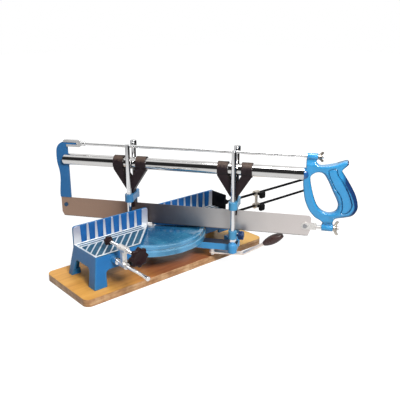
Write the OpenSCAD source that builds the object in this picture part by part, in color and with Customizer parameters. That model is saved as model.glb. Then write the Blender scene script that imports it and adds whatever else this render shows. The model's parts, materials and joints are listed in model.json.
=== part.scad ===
// Manual mitre saw: a board with two ribbed tables, a mitre segment, a swivel arm with
// telescoping guide posts, and a frame saw that slides in the posts.
// Origin on the swivel axis at the board's underside, X along the fence, Y to the rear, Z up.

/* [Board] */
// Length of the board
board_length = 475; // [430:1:560]
// Width of the board
board_width = 162; // [150:1:200]
// Thickness of the board
board_thickness = 15; // [12:1:22]
// Radius of the board's corners
board_corner = 14; // [4:1:25]
// Board centre to the right of the swivel axis
board_shift_x = 9; // [0:1:12]
// Board centre in front of the swivel axis
board_shift_y = 27; // [22:1:32]

/* [Tables] */
// Swivel axis to the outer end of each table
table_reach = 188; // [170:1:205]
// Fence face to the front edge of each table
table_depth = 81; // [74:1:92]
// Height of the table surface over the board
table_height = 68; // [60:1:80]
// Thickness of the table plate
table_plate = 6; // [5:0.5:8]
// Thickness of the table walls
table_wall = 5; // [4:0.5:7]
// Swivel axis to the front inner corner of each table
table_inner = 84; // [78:1:92]
// Height of the fence over the table
fence_height = 37.5; // [30:0.5:50]
// Thickness of the fence
fence_thickness = 5; // [4:0.5:6]
// Gap between the two fences
fence_gap = 14; // [12:1:20]
// Radius of the fence's upper corners
fence_corner = 5; // [2:0.5:8]
// Width of the bright pad at each end of a fence
pad_width = 15; // [10:1:20]
// Recessed panels in each fence
panel_count = 8; // [5:1:10]
// Depth of the panels and table pockets
pocket_depth = 1.2; // [0.6:0.2:2]
// Width of a fence rib at its top
rib_top = 4; // [1.5:0.5:5]
// Width of a fence rib at its foot
rib_foot = 7; // [5:0.5:10]
// Spacing of the diagonal table ribs
rib_pitch = 17; // [13:0.5:20]
// Width of the diagonal table ribs
rib_width = 3; // [2:0.5:5]
// Width of the bright border round the table pockets
table_border = 4; // [3:0.5:6]
// Grooves along the fence
groove_count = 2; // [1:1:4]
// Width of the grooves along the fence
groove_width = 4.5; // [2:0.5:5]
// Length of the block that stands on legs at each table's outer end
leg_block = 58; // [50:1:66]
// Width of a leg along the fence
leg_width = 21; // [16:1:28]
// Width of a back leg along the fence
back_leg = 13.5; // [10:0.5:18]
// Width of a leg across the table
leg_depth = 21; // [18:1:26]
// Spread of the legs at the outer end, top to foot
leg_splay = 7; // [0:0.5:10]
// Spread of the legs at the back, top to foot
back_splay = 15; // [8:0.5:18]
// Width of a back leg's foot across the table
back_foot = 13.4; // [10:0.2:16]
// How much a back leg widens upwards, to its height
leg_slant = 0.39; // [0:0.01:0.5]
// Height of the arches in the front and back walls
arch_height = 35; // [28:1:42]
// Height of the arch in the end wall
end_arch_height = 39; // [32:1:44]
// How far the front and back arches run past the block
arch_over = 30; // [20:1:36]
// Radius of the arch corners
arch_corner = 8; // [4:1:12]
// Height of the pads that take the board screws
foot_pad = 12; // [8:1:16]

/* [Segment] */
// Radius of the segment's upper rim
segment_radius = 119; // [112:1:126]
// How far the lower rim stands out
segment_lip = 3; // [1:0.5:5]
// Height of the whole segment
segment_height = 22; // [18:1:26]
// Height of the upper rim
upper_rim = 9; // [7:0.5:11]
// Width of the raised rim on top
rim_width = 10; // [9:0.5:14]
// Depth of the recess inside the rim
recess_depth = 2.5; // [1:0.5:3]
// Thickness of the segment's plate under the recess
segment_plate_t = 5.5; // [4:0.5:7]
// Thickness of the segment's outer wall
segment_wall = 6; // [5:0.5:8]
// Radius of the pivot hub under the segment
hub_radius = 16; // [13:1:20]
// Clearance between the segment and the tables' front walls
segment_fit = 0.1; // [0.05:0.05:0.3]

/* [Screws] */
// Diameter of the board screws
board_screw_d = 5; // [4:0.5:6]
// Diameter of the board screw heads
board_screw_head = 10; // [8:0.5:12]
// Depth of the board screw heads in the board
board_screw_sink = 4; // [3:0.5:5]
// Diameter of the segment screws
segment_screw_d = 4; // [3:0.5:5]
// Diameter of the segment screw heads
segment_screw_head = 6; // [5.5:0.5:6.5]

/* [Pivot] */
// Diameter of the pivot bolt
pivot_d = 10; // [8:1:12]
// Width of the pivot bolt's head and nut across corners
pivot_head = 18; // [15:1:20]
// Height of the pivot bolt's head
pivot_head_h = 5; // [3:0.5:5.5]
// Height of the pivot nut
pivot_nut_h = 8; // [6:0.5:9]
// Diameter of the pivot washer
pivot_washer_d = 24; // [20:1:28]
// Thickness of the pivot washer
pivot_washer_t = 2.5; // [1.5:0.5:4]
// Wall of the pivot bush
bush_wall = 3; // [2:0.5:4]
// Running clearance of shafts and slides, on the radius
run_fit = 0.05; // [0.02:0.01:0.1]
// Gap between faces that move past each other
face_gap = 0.5; // [0.3:0.1:1]

/* [Swivel arm] */
// Mitre angle the saw is set to, to the right of square
mitre = 36; // [0:1:45]
// Thickness of the arm
arm_thickness = 14.5; // [12:0.5:18]
// Gap between the arm and the segment
arm_gap = 1; // [0.5:0.1:2]
// Width of the arm
arm_width = 24; // [18:1:28]
// Swivel axis to the front posts
front_post = 187; // [170:1:200]
// Swivel axis to the rear posts
rear_post = 40; // [38:0.5:48]
// Spacing of the two posts of a pair
post_spacing = 38; // [36:1:44]
// Diameter of the post bosses
boss_d = 19; // [16:0.5:20]
// Height of the post bosses over the arm's top
boss_rise = 6; // [4:0.5:10]

/* [Posts] */
// Outer diameter of the post tubes
post_d = 10; // [9:0.5:11]
// Wall of the post tubes
post_wall = 1.5; // [1:0.1:2]
// Height of the post tubes' tops over the tension rod's centre
post_over_rod = 6.3; // [5:0.1:12]
// Depth of the guide pins below the post tops
pin_drop = 20; // [16:1:40]
// Height of the seat cones under the posts
seat_height = 10.6; // [8:0.1:14]
// Diameter of the seat cones at their tops
seat_d = 16; // [13:0.5:18]
// Height of the depth collars
collar_height = 17; // [12:1:20]
// Diameter of the front depth collars
front_collar_d = 18; // [15:0.5:20]
// Diameter of the rear depth collars
rear_collar_d = 16; // [14:0.5:18]
// Diameter of the depth knobs
depth_knob_d = 21; // [16:0.5:24]
// Thickness of the depth knobs
depth_knob_t = 12; // [8:0.5:14]
// Diameter of the depth screws
depth_screw_d = 5; // [4:0.5:6]
// Height of the caps on the posts
cap_height = 13.5; // [10:0.5:16]
// Thickness of a cap over its post
cap_over = 3.5; // [2:0.5:5]
// Diameter of the caps on the posts
cap_d = 14.2; // [13:0.2:18]
// Diameter of the caps' set screws
cap_screw_d = 3.5; // [2.5:0.5:4]
// Length of the plugs in the post tops
plug_length = 12; // [8:1:14]

/* [Carriers] */
// Length of a carrier's whole guide
carrier_length = 72; // [64:1:84]
// Length of each guide ring
ring_length = 22; // [18:1:26]
// Wall of the guide rings
ring_wall = 3; // [2:0.5:5]
// Width of a carrier across the saw
carrier_width = 24; // [18:1:26]
// Length of a carrier's stem along the saw
stem_length = 12; // [10:1:14]
// Width of a carrier's stem across the saw
stem_width = 16; // [12:1:18]
// How far the stem straddles the blade's back
stem_overlap = 9; // [5:0.5:14]
// Side clearance of the blade in the stem's slot
slot_fit = 0.4; // [0.3:0.05:0.6]
// Diameter of the crosshead sleeves
crosshead_d = 18.8; // [16:0.2:20]
// Height of the crossheads
crosshead_height = 16; // [12:1:20]
// Blade's back to the underside of the crossheads
crosshead_lift = 7.5; // [5:0.5:10]

/* [Saw] */
// Length of the blade
blade_length = 557; // [500:1:620]
// Width of the blade
blade_width = 45; // [40:1:50]
// Thickness of the blade
blade_t = 1; // [0.8:0.1:1.4]
// Clearance under the teeth at the lowest setting
blade_clear = 0.5; // [0.4:0.1:2]
// Spacing of the teeth
tooth_pitch = 2.5; // [1.8:0.1:4]
// Depth of the teeth
tooth_depth = 1.3; // [0.8:0.1:2]
// Chamfer on the blade's corners
blade_chamfer = 5; // [2:0.5:8]
// Swivel axis to the blade's rear end
blade_back = 210; // [200:1:225]
// Blade's centre line to the back tube's centre
tube_rise = 111.5; // [104:0.5:125]
// Back tube's centre to the tension rod's centre
rod_rise = 36.2; // [34:0.1:44]
// Outer diameter of the back tube
tube_d = 25; // [22:0.5:26]
// Wall of the back tube
tube_wall = 2; // [1.5:0.1:3]
// Blade's rear end to the back tube's rear end
tube_inset = 15; // [12:0.5:20]
// Depth of the back tube in the handle's socket
tube_seat = 1; // [0.5:0.5:3]
// Thickness of the bow
bow_t = 6; // [5:0.5:8]
// Width of the bow at the back tube
bow_width = 26; // [22:0.5:30]
// Blade's back end to the inner edge of the bow
bow_set = 24; // [22:0.5:26]
// How much narrower the bow is at its waist
bow_waist = 5; // [0:0.5:8]
// Diameter of the tension rod
rod_d = 6.4; // [5:0.2:8]
// Length of the tension rod's fork
fork_length = 42; // [34:1:50]
// Height of the fork
fork_height = 15; // [12:0.5:18]
// Height of the fork's slot
fork_slot = 4.5; // [3:0.5:6]
// Thickness of the fork
fork_t = 9; // [8:0.5:12]
// Diameter of the blade and fork pins
pin_d = 5; // [4:0.5:6]
// Diameter of the pins' heads
pin_head = 9; // [7:0.5:11]
// Length of the clevis past the blade's end
clevis_length = 11; // [8:0.5:18]
// Blade's front end back to the clevis pin
clevis_pin_set = 12; // [10:0.5:14]
// Height of the clevis
clevis_height = 16; // [12:0.5:18]
// Thickness of each clevis cheek
clevis_cheek = 2; // [1.5:0.5:3]
// Diameter of the clevis screw
clevis_screw_d = 8; // [6:0.5:9]

/* [Handle] */
// Blade's front end to the front of the handle
handle_set = 21; // [16:0.5:23]
// Handle's front to its upper sleeve
upper_set = 5; // [3:0.5:7]
// Handle's front to its lower sleeve
lower_set = 42; // [40:0.5:44]
// Thickness of the handle's frame
handle_t = 16; // [12:0.5:20]
// Thickness of the grip
grip_t = 24; // [18:0.5:30]
// Diameter of the upper sleeve
upper_sleeve_d = 13; // [11:0.5:15]
// Length of the upper sleeve
upper_sleeve = 21; // [16:0.5:24]
// Diameter of the lower sleeve
lower_sleeve_d = 15; // [13:0.5:17]
// Length of the lower sleeve
lower_sleeve = 23; // [18:0.5:26]
// Length of the rounded boss behind the tube
nose_length = 12; // [8:0.5:14]
// Length of the handle's spigot in the tube
spigot_length = 20; // [10:1:30]
// Span of the upper wing nut
upper_wing = 21; // [16:0.5:26]
// Span of the lower wing nut
lower_wing = 31; // [22:0.5:36]
// Length of the wing nuts' hubs
wing_hub = 8; // [6:0.5:10]

/* [Lock lever] */
// Swivel axis to the lever's bolt
lever_bolt_at = 140; // [134:1:150]
// Diameter of the lever's bolt
lever_bolt_d = 6; // [5:0.5:8]
// Thickness of the lever
lever_t = 3; // [2:0.5:4]
// Width of the lever
lever_width = 14; // [10:0.5:16]
// Drop from the arm's underside to the lever's top
lever_drop = 10; // [2:0.5:12]
// Flat run of the lever past its bolt
lever_run = 67; // [60:1:75]
// Length of the lever's rising end
lever_rise = 50; // [40:1:64]
// Slope of the lever's rising end
lever_slope = 30; // [15:1:40]
// Turn of the lever to the right of the arm
lever_turn = 5; // [0:1:12]
// Length of the lever's grip
lever_grip_l = 46; // [36:1:56]
// Diameter of the lever's grip
lever_grip_d = 20; // [12:0.5:22]
// Diameter of the grip's ends
lever_grip_end = 9; // [7:0.5:10]

/* [Workpiece clamp] */
// Swivel axis to the clamp rod
clamp_at = 147; // [142:1:152]
// Height of the clamp and stop rods below the table surface
rod_below = 15.5; // [14:0.5:18]
// Diameter of the clamp rod
clamp_rod_d = 7; // [6:0.5:8]
// Length of the clamp rod outside its boss
clamp_rod_length = 106; // [90:1:130]
// Diameter of the rod bosses on the tables
rod_boss_d = 16; // [14:0.5:17]
// How far the rod bosses stand out
rod_boss = 3; // [2:0.5:5]
// Diameter of the rod collars
rod_collar_d = 14; // [12:0.5:16]
// Length of the rod collars
rod_collar = 9; // [7:0.5:12]
// Clamp bracket's centre to the rod boss
bracket_at = 29; // [27:0.5:50]
// Clamp rod's centre to the spindle's centre
bracket_rise = 33.5; // [30:0.5:40]
// Length of the bracket's lower hub
bracket_hub = 20; // [14:0.5:22]
// Length of the bracket's upper hub
bracket_nut = 25; // [18:0.5:28]
// Diameter of the bracket's hubs
bracket_hub_d = 13; // [11:0.5:14]
// Width of the bracket's web
bracket_web = 10; // [7:0.5:11]
// Diameter of the spindle
spindle_d = 7; // [6:0.5:8]
// Bracket's centre to the pad's face
pad_out = 56; // [46:1:64]
// Bracket's centre to the knob's near face
knob_out = 45; // [36:1:50]
// Diameter of the star knob
star_d = 40; // [28:1:42]
// Thickness of the star knob
star_t = 11; // [8:0.5:16]
// Diameter of the clamp pad
clamp_pad_d = 20; // [16:0.5:22]
// Thickness of the clamp pad
clamp_pad_t = 8; // [6:0.5:11]
// Diameter of the thumb screws
thumb_screw_d = 4; // [3:0.5:5]
// Diameter of the thumb screws' heads
thumb_head_d = 20; // [12:0.5:22]
// Thickness of the thumb screws' heads
thumb_head_t = 9; // [6:0.5:11]
// Length of the thumb screws' necks
thumb_neck = 8; // [4:0.5:10]

/* [Length stop] */
// Diameter of the stop rods
stop_rod_d = 6; // [5:0.5:7]
// Length of the stop rods
stop_rod_length = 296; // [260:1:320]
// Distance of the stop rods in front of the fence face
stop_rod_y = 40; // [36:0.5:44]
// Spacing of the two stop rods
stop_spacing = 32; // [29:0.5:36]
// Table's end to the slider's centre
slider_at = 106; // [60:1:140]
// Length of the slider's hubs
slider_hub = 14; // [10:0.5:18]
// Diameter of the slider's hubs
slider_hub_d = 14; // [11:0.5:16]
// Width of the slider's waist
slider_waist = 5; // [4:0.5:9]
// How far the stop plate stands in from the table's end
stop_set = 6; // [2:0.5:20]
// Depth of the stop plate along the table's end
stop_plate_w = 45; // [44:1:52]
// Thickness of the stop plate
stop_plate_t = 3; // [2:0.5:5]
// Clearance of the stop plate from the table and fence
stop_clear = 1; // [0.5:0.1:2]

/* [Hidden] */
$fn = 64;
table_top = board_thickness + table_height;
plate_z = table_top - table_plate;
fence_top = table_top + fence_height;
arch_z = board_thickness + arch_height;
inner_slope = (table_inner - fence_gap / 2) / table_depth;
block_x = table_reach - leg_block;
foot_reach = table_reach + leg_splay;
front_splay = leg_splay / 3;
segment_bottom = plate_z - segment_height;
step_z = plate_z - upper_rim;
recess_z = plate_z - recess_depth;
under_z = recess_z - segment_plate_t;
segment_screw_r = segment_radius + segment_lip - segment_wall - segment_screw_head / 2 - 0.4;
segment_screw_l = table_plate - pocket_depth - 1;
front_screw = [foot_reach - (leg_width + leg_splay) / 2, -(table_depth + front_splay - leg_depth / 2 - 1)];
back_y = fence_thickness + back_splay;
back_screw = [foot_reach - (back_leg + leg_splay) / 2 + 1, back_y - back_foot / 2];
board_screw_l = board_thickness - board_screw_sink + foot_pad - 2;

arm_top = segment_bottom - arm_gap;
arm_bottom = arm_top - arm_thickness;
boss_top = arm_top + boss_rise;
pivot_r = pivot_d / 2;
bush_r = pivot_r + run_fit + bush_wall;
washer_top = arm_bottom - face_gap;
nut_top = washer_top - pivot_washer_t;

blade_bottom = table_top + blade_clear;
blade_top = blade_bottom + blade_width;
blade_axis = blade_bottom + blade_width / 2;
blade_front = blade_length - blade_back;
tube_z = blade_axis + tube_rise;
rod_z = tube_z + rod_rise;
tube_r = tube_d / 2;
rod_r = rod_d / 2;

half_spacing = post_spacing / 2;
post_r = post_d / 2;
post_bore = post_r - post_wall;
guide_r = post_bore - run_fit;
post_top = rod_z + post_over_rod;
guide_top = post_top - pin_drop;
cap_screw_z = post_top + cap_over - cap_height / 2;
guide_bottom = arm_bottom + 2;
seat_top = boss_top + seat_height;
post_bottom = seat_top + face_gap;
collar_mid = post_bottom + collar_height / 2;
crosshead_z = blade_top + crosshead_lift;
stem_bottom = blade_top - stem_overlap;
posts_x = [-rear_post, front_post];

bow_inner = blade_back - bow_set;
bow_lap = blade_top + 0.5;
bow_pin = [-(blade_back - 11), blade_axis + 5];
clevis_pin = [blade_front - clevis_pin_set, blade_axis];
handle_x = blade_front - handle_set;
handle_k = (rod_z - blade_axis) / 148;
tube_end = handle_x + tube_seat;
upper_x = handle_x + upper_set;
lower_x = handle_x + lower_set;

lever_top = arm_bottom - lever_drop;
lever_low = lever_top - lever_t;
// The tang that carries the grip is turned from the strip, and rooted in it
tang_r = lever_t / 2 - 0.25;
tang_root = 2;
tang_l = lever_grip_l - 10;
rise_end = [lever_run + lever_rise * cos(lever_slope),
    lever_low + lever_t / 2 + lever_rise * sin(lever_slope)];

rods_z = table_top - rod_below;
spindle_z = rods_z + bracket_rise;
clamp_rod_r = clamp_rod_d / 2;
front_boss_y = -(table_depth + front_splay + rod_boss);
bracket_y = front_boss_y - bracket_at;
spindle_r = spindle_d / 2;
end_boss_x = foot_reach - leg_splay + rod_boss;
stop_r = stop_rod_d / 2;
upper_stop_z = rods_z + stop_spacing;
slider_x = table_reach + slider_at;
stop_plate_x = table_reach - stop_set;

// Handle outline: offsets from the handle's front and the blade's centre line
handle_outline = [[5, 146], [19, 147], [24, 143], [24, 136], [29, 131], [38, 130], [58, 134], [80, 142],
    [85, 141], [85, 136], [74, 123], [81, 111], [89, 99], [103, 75], [110, 53], [108, 40], [100, 30],
        [84, 25],
    [68, 21], [64, 12], [64, 0], [43, 0], [43, 11], [39, 16], [27, 23], [15, 37], [6, 57], [2, 77],
    [0, 99], [4, 122]];
finger_hole = [[14, 106], [19, 113], [28, 117], [38, 115], [47, 103], [59, 79], [70, 56], [70, 43],
    [64, 35], [52, 32], [40, 36], [30, 46], [22, 65], [15, 92]];
grip_panel = [[50, 116], [64, 121], [89, 86], [98, 58], [97, 42], [82, 32], [77, 35], [80, 49], [75, 64],
    [60, 92]];

paint = "#2f77c0";
bright = "#d8d8da";
dark = "#2b211f";
black = "#17171a";

// Smooth closed curve through a few points, n steps from each point to the next
function spline(p, n) = [for (i = [0:len(p) - 1]) for (j = [0:n - 1])
    let (m = len(p), a = p[(i + m - 1) % m], b = p[i], c = p[(i + 1) % m], d = p[(i + 2) % m], t = j / n)
    b + (c - a) * t / 2 + (2 * a - 5 * b + 4 * c - d) * t * t / 2
      + (3 * b - a - 3 * c + d) * t * t * t / 2];

// The same through a row of points that doesn't close
function open_spline(p, n) = let (m = len(p)) concat([for (i = [0:m - 2]) for (j = [0:n - 1])
    let (a = p[max(i - 1, 0)], b = p[i], c = p[i + 1], d = p[min(i + 2, m - 1)], t = j / n)
    b + (c - a) * t / 2 + (2 * a - 5 * b + 4 * c - d) * t * t / 2
      + (3 * b - a - 3 * c + d) * t * t * t / 2], [p[m - 1]]);

function on_handle(p) = [for (q = p) [handle_x + q[0], blade_axis + q[1] * handle_k]];

// Everything on the arm is drawn along X and turned to the mitre angle
module on_arm() {
    rotate([0, 0, mitre - 90]) children();
}

// Flat shape in X and Z, made thick along Y from y0 to y1
module upright(y0, y1) {
    translate([0, y1, 0]) rotate([90, 0, 0]) linear_extrude(y1 - y0) children();
}

module rod_x(x0, x1, r) {
    translate([x0, 0, 0]) rotate([0, 90, 0]) cylinder(h = x1 - x0, r = r);
}

module rod_y(y0, y1, r) {
    translate([0, y0, 0]) rotate([-90, 0, 0]) cylinder(h = y1 - y0, r = r);
}

module rod_z(z0, z1, r) {
    translate([0, 0, z0]) cylinder(h = z1 - z0, r = r);
}

module at_posts(x) {
    for (side = [-1, 1]) translate([x, side * half_spacing, 0]) children();
}

module rounded_rect(l, w, r) {
    square([l - 2 * r, w], center = true);
    square([l, w - 2 * r], center = true);
    for (x = [-1, 1], y = [-1, 1]) translate([x * (l / 2 - r), y * (w / 2 - r)]) circle(r);
}

// Arch opening standing on the board, from u0 to u1
module arch(u0, u1) {
    z0 = board_thickness - 1;
    translate([u0, z0]) square([u1 - u0, arch_z - arch_corner - z0]);
    translate([u0 + arch_corner, z0]) square([u1 - u0 - 2 * arch_corner, arch_z - z0]);
    for (u = [u0 + arch_corner, u1 - arch_corner]) translate([u, arch_z - arch_corner])
        circle(arch_corner);
}

// Arch in the end wall, from the front leg to the slanted edge of the back leg
module end_arch() {
    z0 = board_thickness - 1;
    top = board_thickness + end_arch_height;
    u0 = -table_depth + leg_depth;
    u1 = back_y - back_foot;
    k = sqrt(1 + leg_slant * leg_slant);
    c = [u1 - leg_slant * (top - arch_corner - board_thickness) - arch_corner * k, top - arch_corner];
    polygon([[u0, z0], [u1 + leg_slant, z0], c + arch_corner / k * [1, leg_slant], [c[0], top],
        [u0 + arch_corner, top], [u0, top - arch_corner]]);
    translate(c) circle(arch_corner);
    translate([u0 + arch_corner, top - arch_corner]) circle(arch_corner);
}

module at_board_screws() {
    for (x = [-1, 1], p = [front_screw, back_screw]) translate([x * p[0], p[1], 0]) children();
}

module at_segment_screws() {
    for (a = [55, 75], x = [-1, 1])
        translate([x * segment_screw_r * sin(a), -segment_screw_r * cos(a), 0]) children();
}

module board() {
    color("#d9a441") difference() {
        translate([board_shift_x, -board_shift_y, 0]) linear_extrude(board_thickness)
            rounded_rect(board_length, board_width, board_corner);
        at_board_screws() {
            rod_z(-1, board_screw_sink, board_screw_head / 2);
            rod_z(-1, board_thickness + 1, board_screw_d / 2);
        }
    }
}

// Tapered block at the outer end, drawn in by its wall
module leg_hull(in) {
    over = in > 0 ? 1 : 0;
    foot = board_thickness - over;
    hull() {
        translate([-table_reach + in, -table_depth + in, plate_z - 0.01])
            cube([leg_block - in + over, table_depth + fence_thickness - 2 * in, 0.01]);
        translate([-foot_reach + in, -table_depth - front_splay + in, foot])
            cube([foot_reach - block_x - in + over, table_depth + front_splay + back_y - 2 * in, 0.01]);
    }
}

module fence_outline() {
    l = table_reach - fence_gap / 2;
    h = fence_top - plate_z;
    translate([-table_reach, plate_z]) square([l, h - fence_corner]);
    translate([-table_reach + fence_corner, plate_z]) square([l - 2 * fence_corner, h]);
    for (x = [fence_corner, l - fence_corner])
        translate([x - table_reach, fence_top - fence_corner]) circle(fence_corner);
}

module fence_panels() {
    l = table_reach - fence_gap / 2 - 2 * pad_width;
    pitch = (l + rib_top) / panel_count;
    foot = (rib_foot - rib_top) / 2;
    for (i = [0:panel_count - 1]) {
        a = -table_reach + pad_width + i * pitch;
        b = a + pitch - rib_top;
        polygon([[a, fence_top + 1], [b, fence_top + 1], [b - foot, table_top + 1],
            [a + foot, table_top + 1]]);
    }
}

// Pockets between the diagonal ribs, all parallel to the table's inner edge
module table_pockets() {
    front = -table_depth + table_border;
    back = -2 * groove_count * groove_width - 2;
    edge = -table_inner - table_border * sqrt(1 + inner_slope * inner_slope);
    run = (back - front) * inner_slope;
    count = ceil((table_reach - table_inner + run) / rib_pitch);
    intersection() {
        polygon([[-table_reach + table_border, front], [edge + table_border * inner_slope, front],
            [edge + table_border * inner_slope + run, back], [-table_reach + table_border, back]]);
        for (i = [1:count]) {
            x1 = edge + table_border * inner_slope - (i - 1) * rib_pitch;
            x0 = x1 - rib_pitch + rib_width * 1.4;
            polygon([[x0, front], [x1, front], [x1 + run, back], [x0 + run, back]]);
        }
    }
}

// Left-hand table with its fence; the right-hand one is its mirror image
module table() {
    edge = [[-table_reach, fence_thickness], [-table_reach, -table_depth], [-table_inner, -table_depth],
        [-fence_gap / 2, 0], [-fence_gap / 2, fence_thickness]];
    groove_l = table_reach - fence_gap / 2 - 4 * groove_width - 2 * table_border;
    difference() {
        union() {
            translate([0, 0, plate_z]) linear_extrude(table_plate) polygon(edge);
            upright(0, fence_thickness) fence_outline();
            difference() {
                leg_hull(0);
                leg_hull(table_wall);
                upright(-table_depth - 20, -table_depth / 2)
                    arch(-table_reach + leg_width, -block_x + arch_over);
                upright(-table_depth / 2, back_y + 1)
                    arch(-table_reach + back_leg, -block_x + arch_over);
                rotate([0, 0, 90]) upright(block_x, foot_reach + 1) end_arch();
            }
            translate([-block_x - 0.01, -table_depth, segment_bottom + 2])
                cube([block_x - table_inner, table_wall, plate_z - segment_bottom - 2]);
            intersection() {
                leg_hull(table_wall / 4);
                union() {
                    translate([-foot_reach, -table_depth - front_splay, board_thickness])
                        cube([leg_width + leg_splay, leg_depth + front_splay, foot_pad]);
                    translate([-foot_reach, back_y - back_foot, board_thickness])
                        cube([back_leg + leg_splay, back_foot, foot_pad]);
                }
            }
        }
        upright(-1, pocket_depth) fence_panels();
        translate([0, 0, table_top - pocket_depth]) linear_extrude(pocket_depth + 1) table_pockets();
        for (i = [1:groove_count])
            translate([-table_reach + table_border, -(2 * i - 1) * groove_width - 2,
                table_top - pocket_depth]) cube([groove_l, groove_width, pocket_depth + 1]);
        rod_z(segment_bottom - 1, plate_z, segment_radius + segment_lip + segment_fit);
        rod_z(plate_z - 1, recess_z + pivot_head_h + face_gap, pivot_head / 2 + face_gap);
        at_board_screws() rod_z(board_thickness - 1, board_thickness + foot_pad - 2, board_screw_d / 2);
        at_segment_screws() rod_z(plate_z - 1, plate_z + segment_screw_l, segment_screw_d / 2);
    }
}

module left_table() {
    color(paint) difference() {
        union() {
            table();
            translate([-clamp_at, 0, rods_z]) rod_y(front_boss_y, -table_depth + 1, rod_boss_d / 2);
        }
        translate([-clamp_at, 0, rods_z]) rod_y(front_boss_y - 1, -table_depth + 10, clamp_rod_r);
    }
}

module right_table() {
    color(paint) difference() {
        union() {
            mirror([1, 0, 0]) table();
            translate([0, -stop_rod_y, rods_z]) rod_x(table_reach - 2, end_boss_x, rod_boss_d / 2);
        }
        translate([0, -stop_rod_y, rods_z]) rod_x(table_reach - 12, end_boss_x + 1, stop_r);
    }
}

module segment() {
    outer = segment_radius + segment_lip;
    inner = outer - segment_wall;
    profile = [[pivot_r, segment_bottom], [hub_radius, segment_bottom], [hub_radius, under_z], [inner,
        under_z],
        [inner, segment_bottom], [outer, segment_bottom], [outer, step_z - 2], [outer - 1, step_z - 1],
        [segment_radius - 1.5, step_z - 1], [segment_radius - 1.5, step_z + 0.5], [segment_radius,
            step_z + 1],
        [segment_radius, plate_z - 1], [segment_radius - 1, plate_z], [segment_radius - rim_width + 1.5,
            plate_z],
        [segment_radius - rim_width, recess_z], [pivot_r, recess_z]];
    color(paint) difference() {
        rotate_extrude() polygon(profile);
        translate([-outer - 1, 0, segment_bottom - 1]) cube([2 * outer + 2, outer + 1,
            segment_height + 2]);
        translate([-outer - 1, -1, segment_bottom - 1]) cube([2 * outer + 2, 2, 1]);
        at_segment_screws() rod_z(under_z - 1, plate_z + 1, segment_screw_d / 2);
    }
}

module board_screws() {
    color(bright) at_board_screws() {
        rod_z(1, board_screw_sink, board_screw_head / 2);
        rod_z(board_screw_sink, board_screw_sink + board_screw_l, board_screw_d / 2);
    }
}

module segment_screws() {
    color(bright) at_segment_screws() {
        rod_z(under_z - 3, under_z, segment_screw_head / 2);
        rod_z(under_z, plate_z + segment_screw_l, segment_screw_d / 2);
    }
}

module pivot_bolt() {
    color(bright) {
        translate([0, 0, recess_z]) cylinder(h = pivot_head_h, d = pivot_head, $fn = 6);
        rod_z(nut_top - pivot_nut_h - 2, recess_z, pivot_r);
    }
}

module pivot_washer() {
    color(bright) difference() {
        rod_z(nut_top, washer_top, pivot_washer_d / 2);
        rod_z(nut_top - 1, washer_top + 1, pivot_r);
    }
}

module pivot_nut() {
    color(bright) difference() {
        translate([0, 0, nut_top - pivot_nut_h]) cylinder(h = pivot_nut_h, d = pivot_head, $fn = 6);
        rod_z(nut_top - pivot_nut_h - 1, nut_top + 1, pivot_r);
    }
}

module clamp_rod() {
    color(bright) translate([-clamp_at, 0, rods_z]) {
        rod_y(front_boss_y - clamp_rod_length, -table_depth + 10, clamp_rod_r);
        rod_y(front_boss_y - clamp_rod_length - 2, front_boss_y - clamp_rod_length, clamp_rod_r + 0.8);
    }
}

module clamp_rod_collar() {
    color(bright) translate([-clamp_at, 0, rods_z]) difference() {
        rod_y(front_boss_y - rod_collar, front_boss_y, rod_collar_d / 2);
        rod_y(front_boss_y - rod_collar - 1, front_boss_y + 1, clamp_rod_r);
    }
}

module stop_rod() {
    color(black) translate([0, -stop_rod_y, rods_z])
        rod_x(table_reach - 12, table_reach + stop_rod_length, stop_r);
}

module stop_rod_collar() {
    color(black) translate([0, -stop_rod_y, rods_z]) difference() {
        rod_x(end_boss_x, end_boss_x + rod_collar, rod_collar_d / 2);
        rod_x(end_boss_x - 1, end_boss_x + rod_collar + 1, stop_r);
    }
}

// Boss for a guide pin, with a rounded top
module post_boss() {
    r = boss_d / 2;
    rotate_extrude() polygon([[0, arm_bottom], [r, arm_bottom], [r, boss_top - 5],
        [r - 0.6, boss_top - 2.8], [r - 1.8, boss_top - 1.2],
        [r - 3.6, boss_top - 0.2], [r - 4.6, boss_top], [0, boss_top]]);
}

module swivel_arm() {
    color(paint) on_arm() difference() {
        union() {
            translate([-rear_post, -arm_width / 2, arm_bottom])
                cube([front_post + rear_post, arm_width, arm_thickness]);
            rod_z(arm_bottom, arm_top, hub_radius);
            for (x = posts_x) {
                translate([x - boss_d / 2 + 1.5, -half_spacing, arm_bottom])
                    cube([boss_d - 3, post_spacing, arm_thickness]);
                at_posts(x) post_boss();
            }
        }
        rod_z(arm_bottom - 1, arm_top + 1, bush_r);
        for (x = posts_x) at_posts(x) rod_z(guide_bottom, boss_top + 1, guide_r);
        translate([lever_bolt_at, 0, 0]) rod_z(arm_bottom - 1, arm_top - 4, lever_bolt_d / 2);
    }
}

module pivot_bush() {
    color("#b8924a") on_arm() difference() {
        rod_z(arm_bottom, arm_top + arm_gap / 2, bush_r);
        rod_z(arm_bottom - 1, arm_top + arm_gap, pivot_r + run_fit);
    }
}

module guide_pins(x) {
    color(bright) on_arm() at_posts(x) rod_z(guide_bottom, guide_top, guide_r);
}

module front_guide_pins() {
    guide_pins(front_post);
}

module rear_guide_pins() {
    guide_pins(-rear_post);
}

module seats(x) {
    foot = guide_r + 0.7;
    color(bright) on_arm() at_posts(x) rotate_extrude()
        polygon([[guide_r, boss_top], [foot, boss_top], [seat_d / 2, seat_top - 3], [seat_d / 2,
            seat_top],
            [guide_r, seat_top]]);
}

module front_seats() {
    seats(front_post);
}

module rear_seats() {
    seats(-rear_post);
}

module at_lever() {
    on_arm() translate([lever_bolt_at, 0, 0]) children();
}

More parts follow.
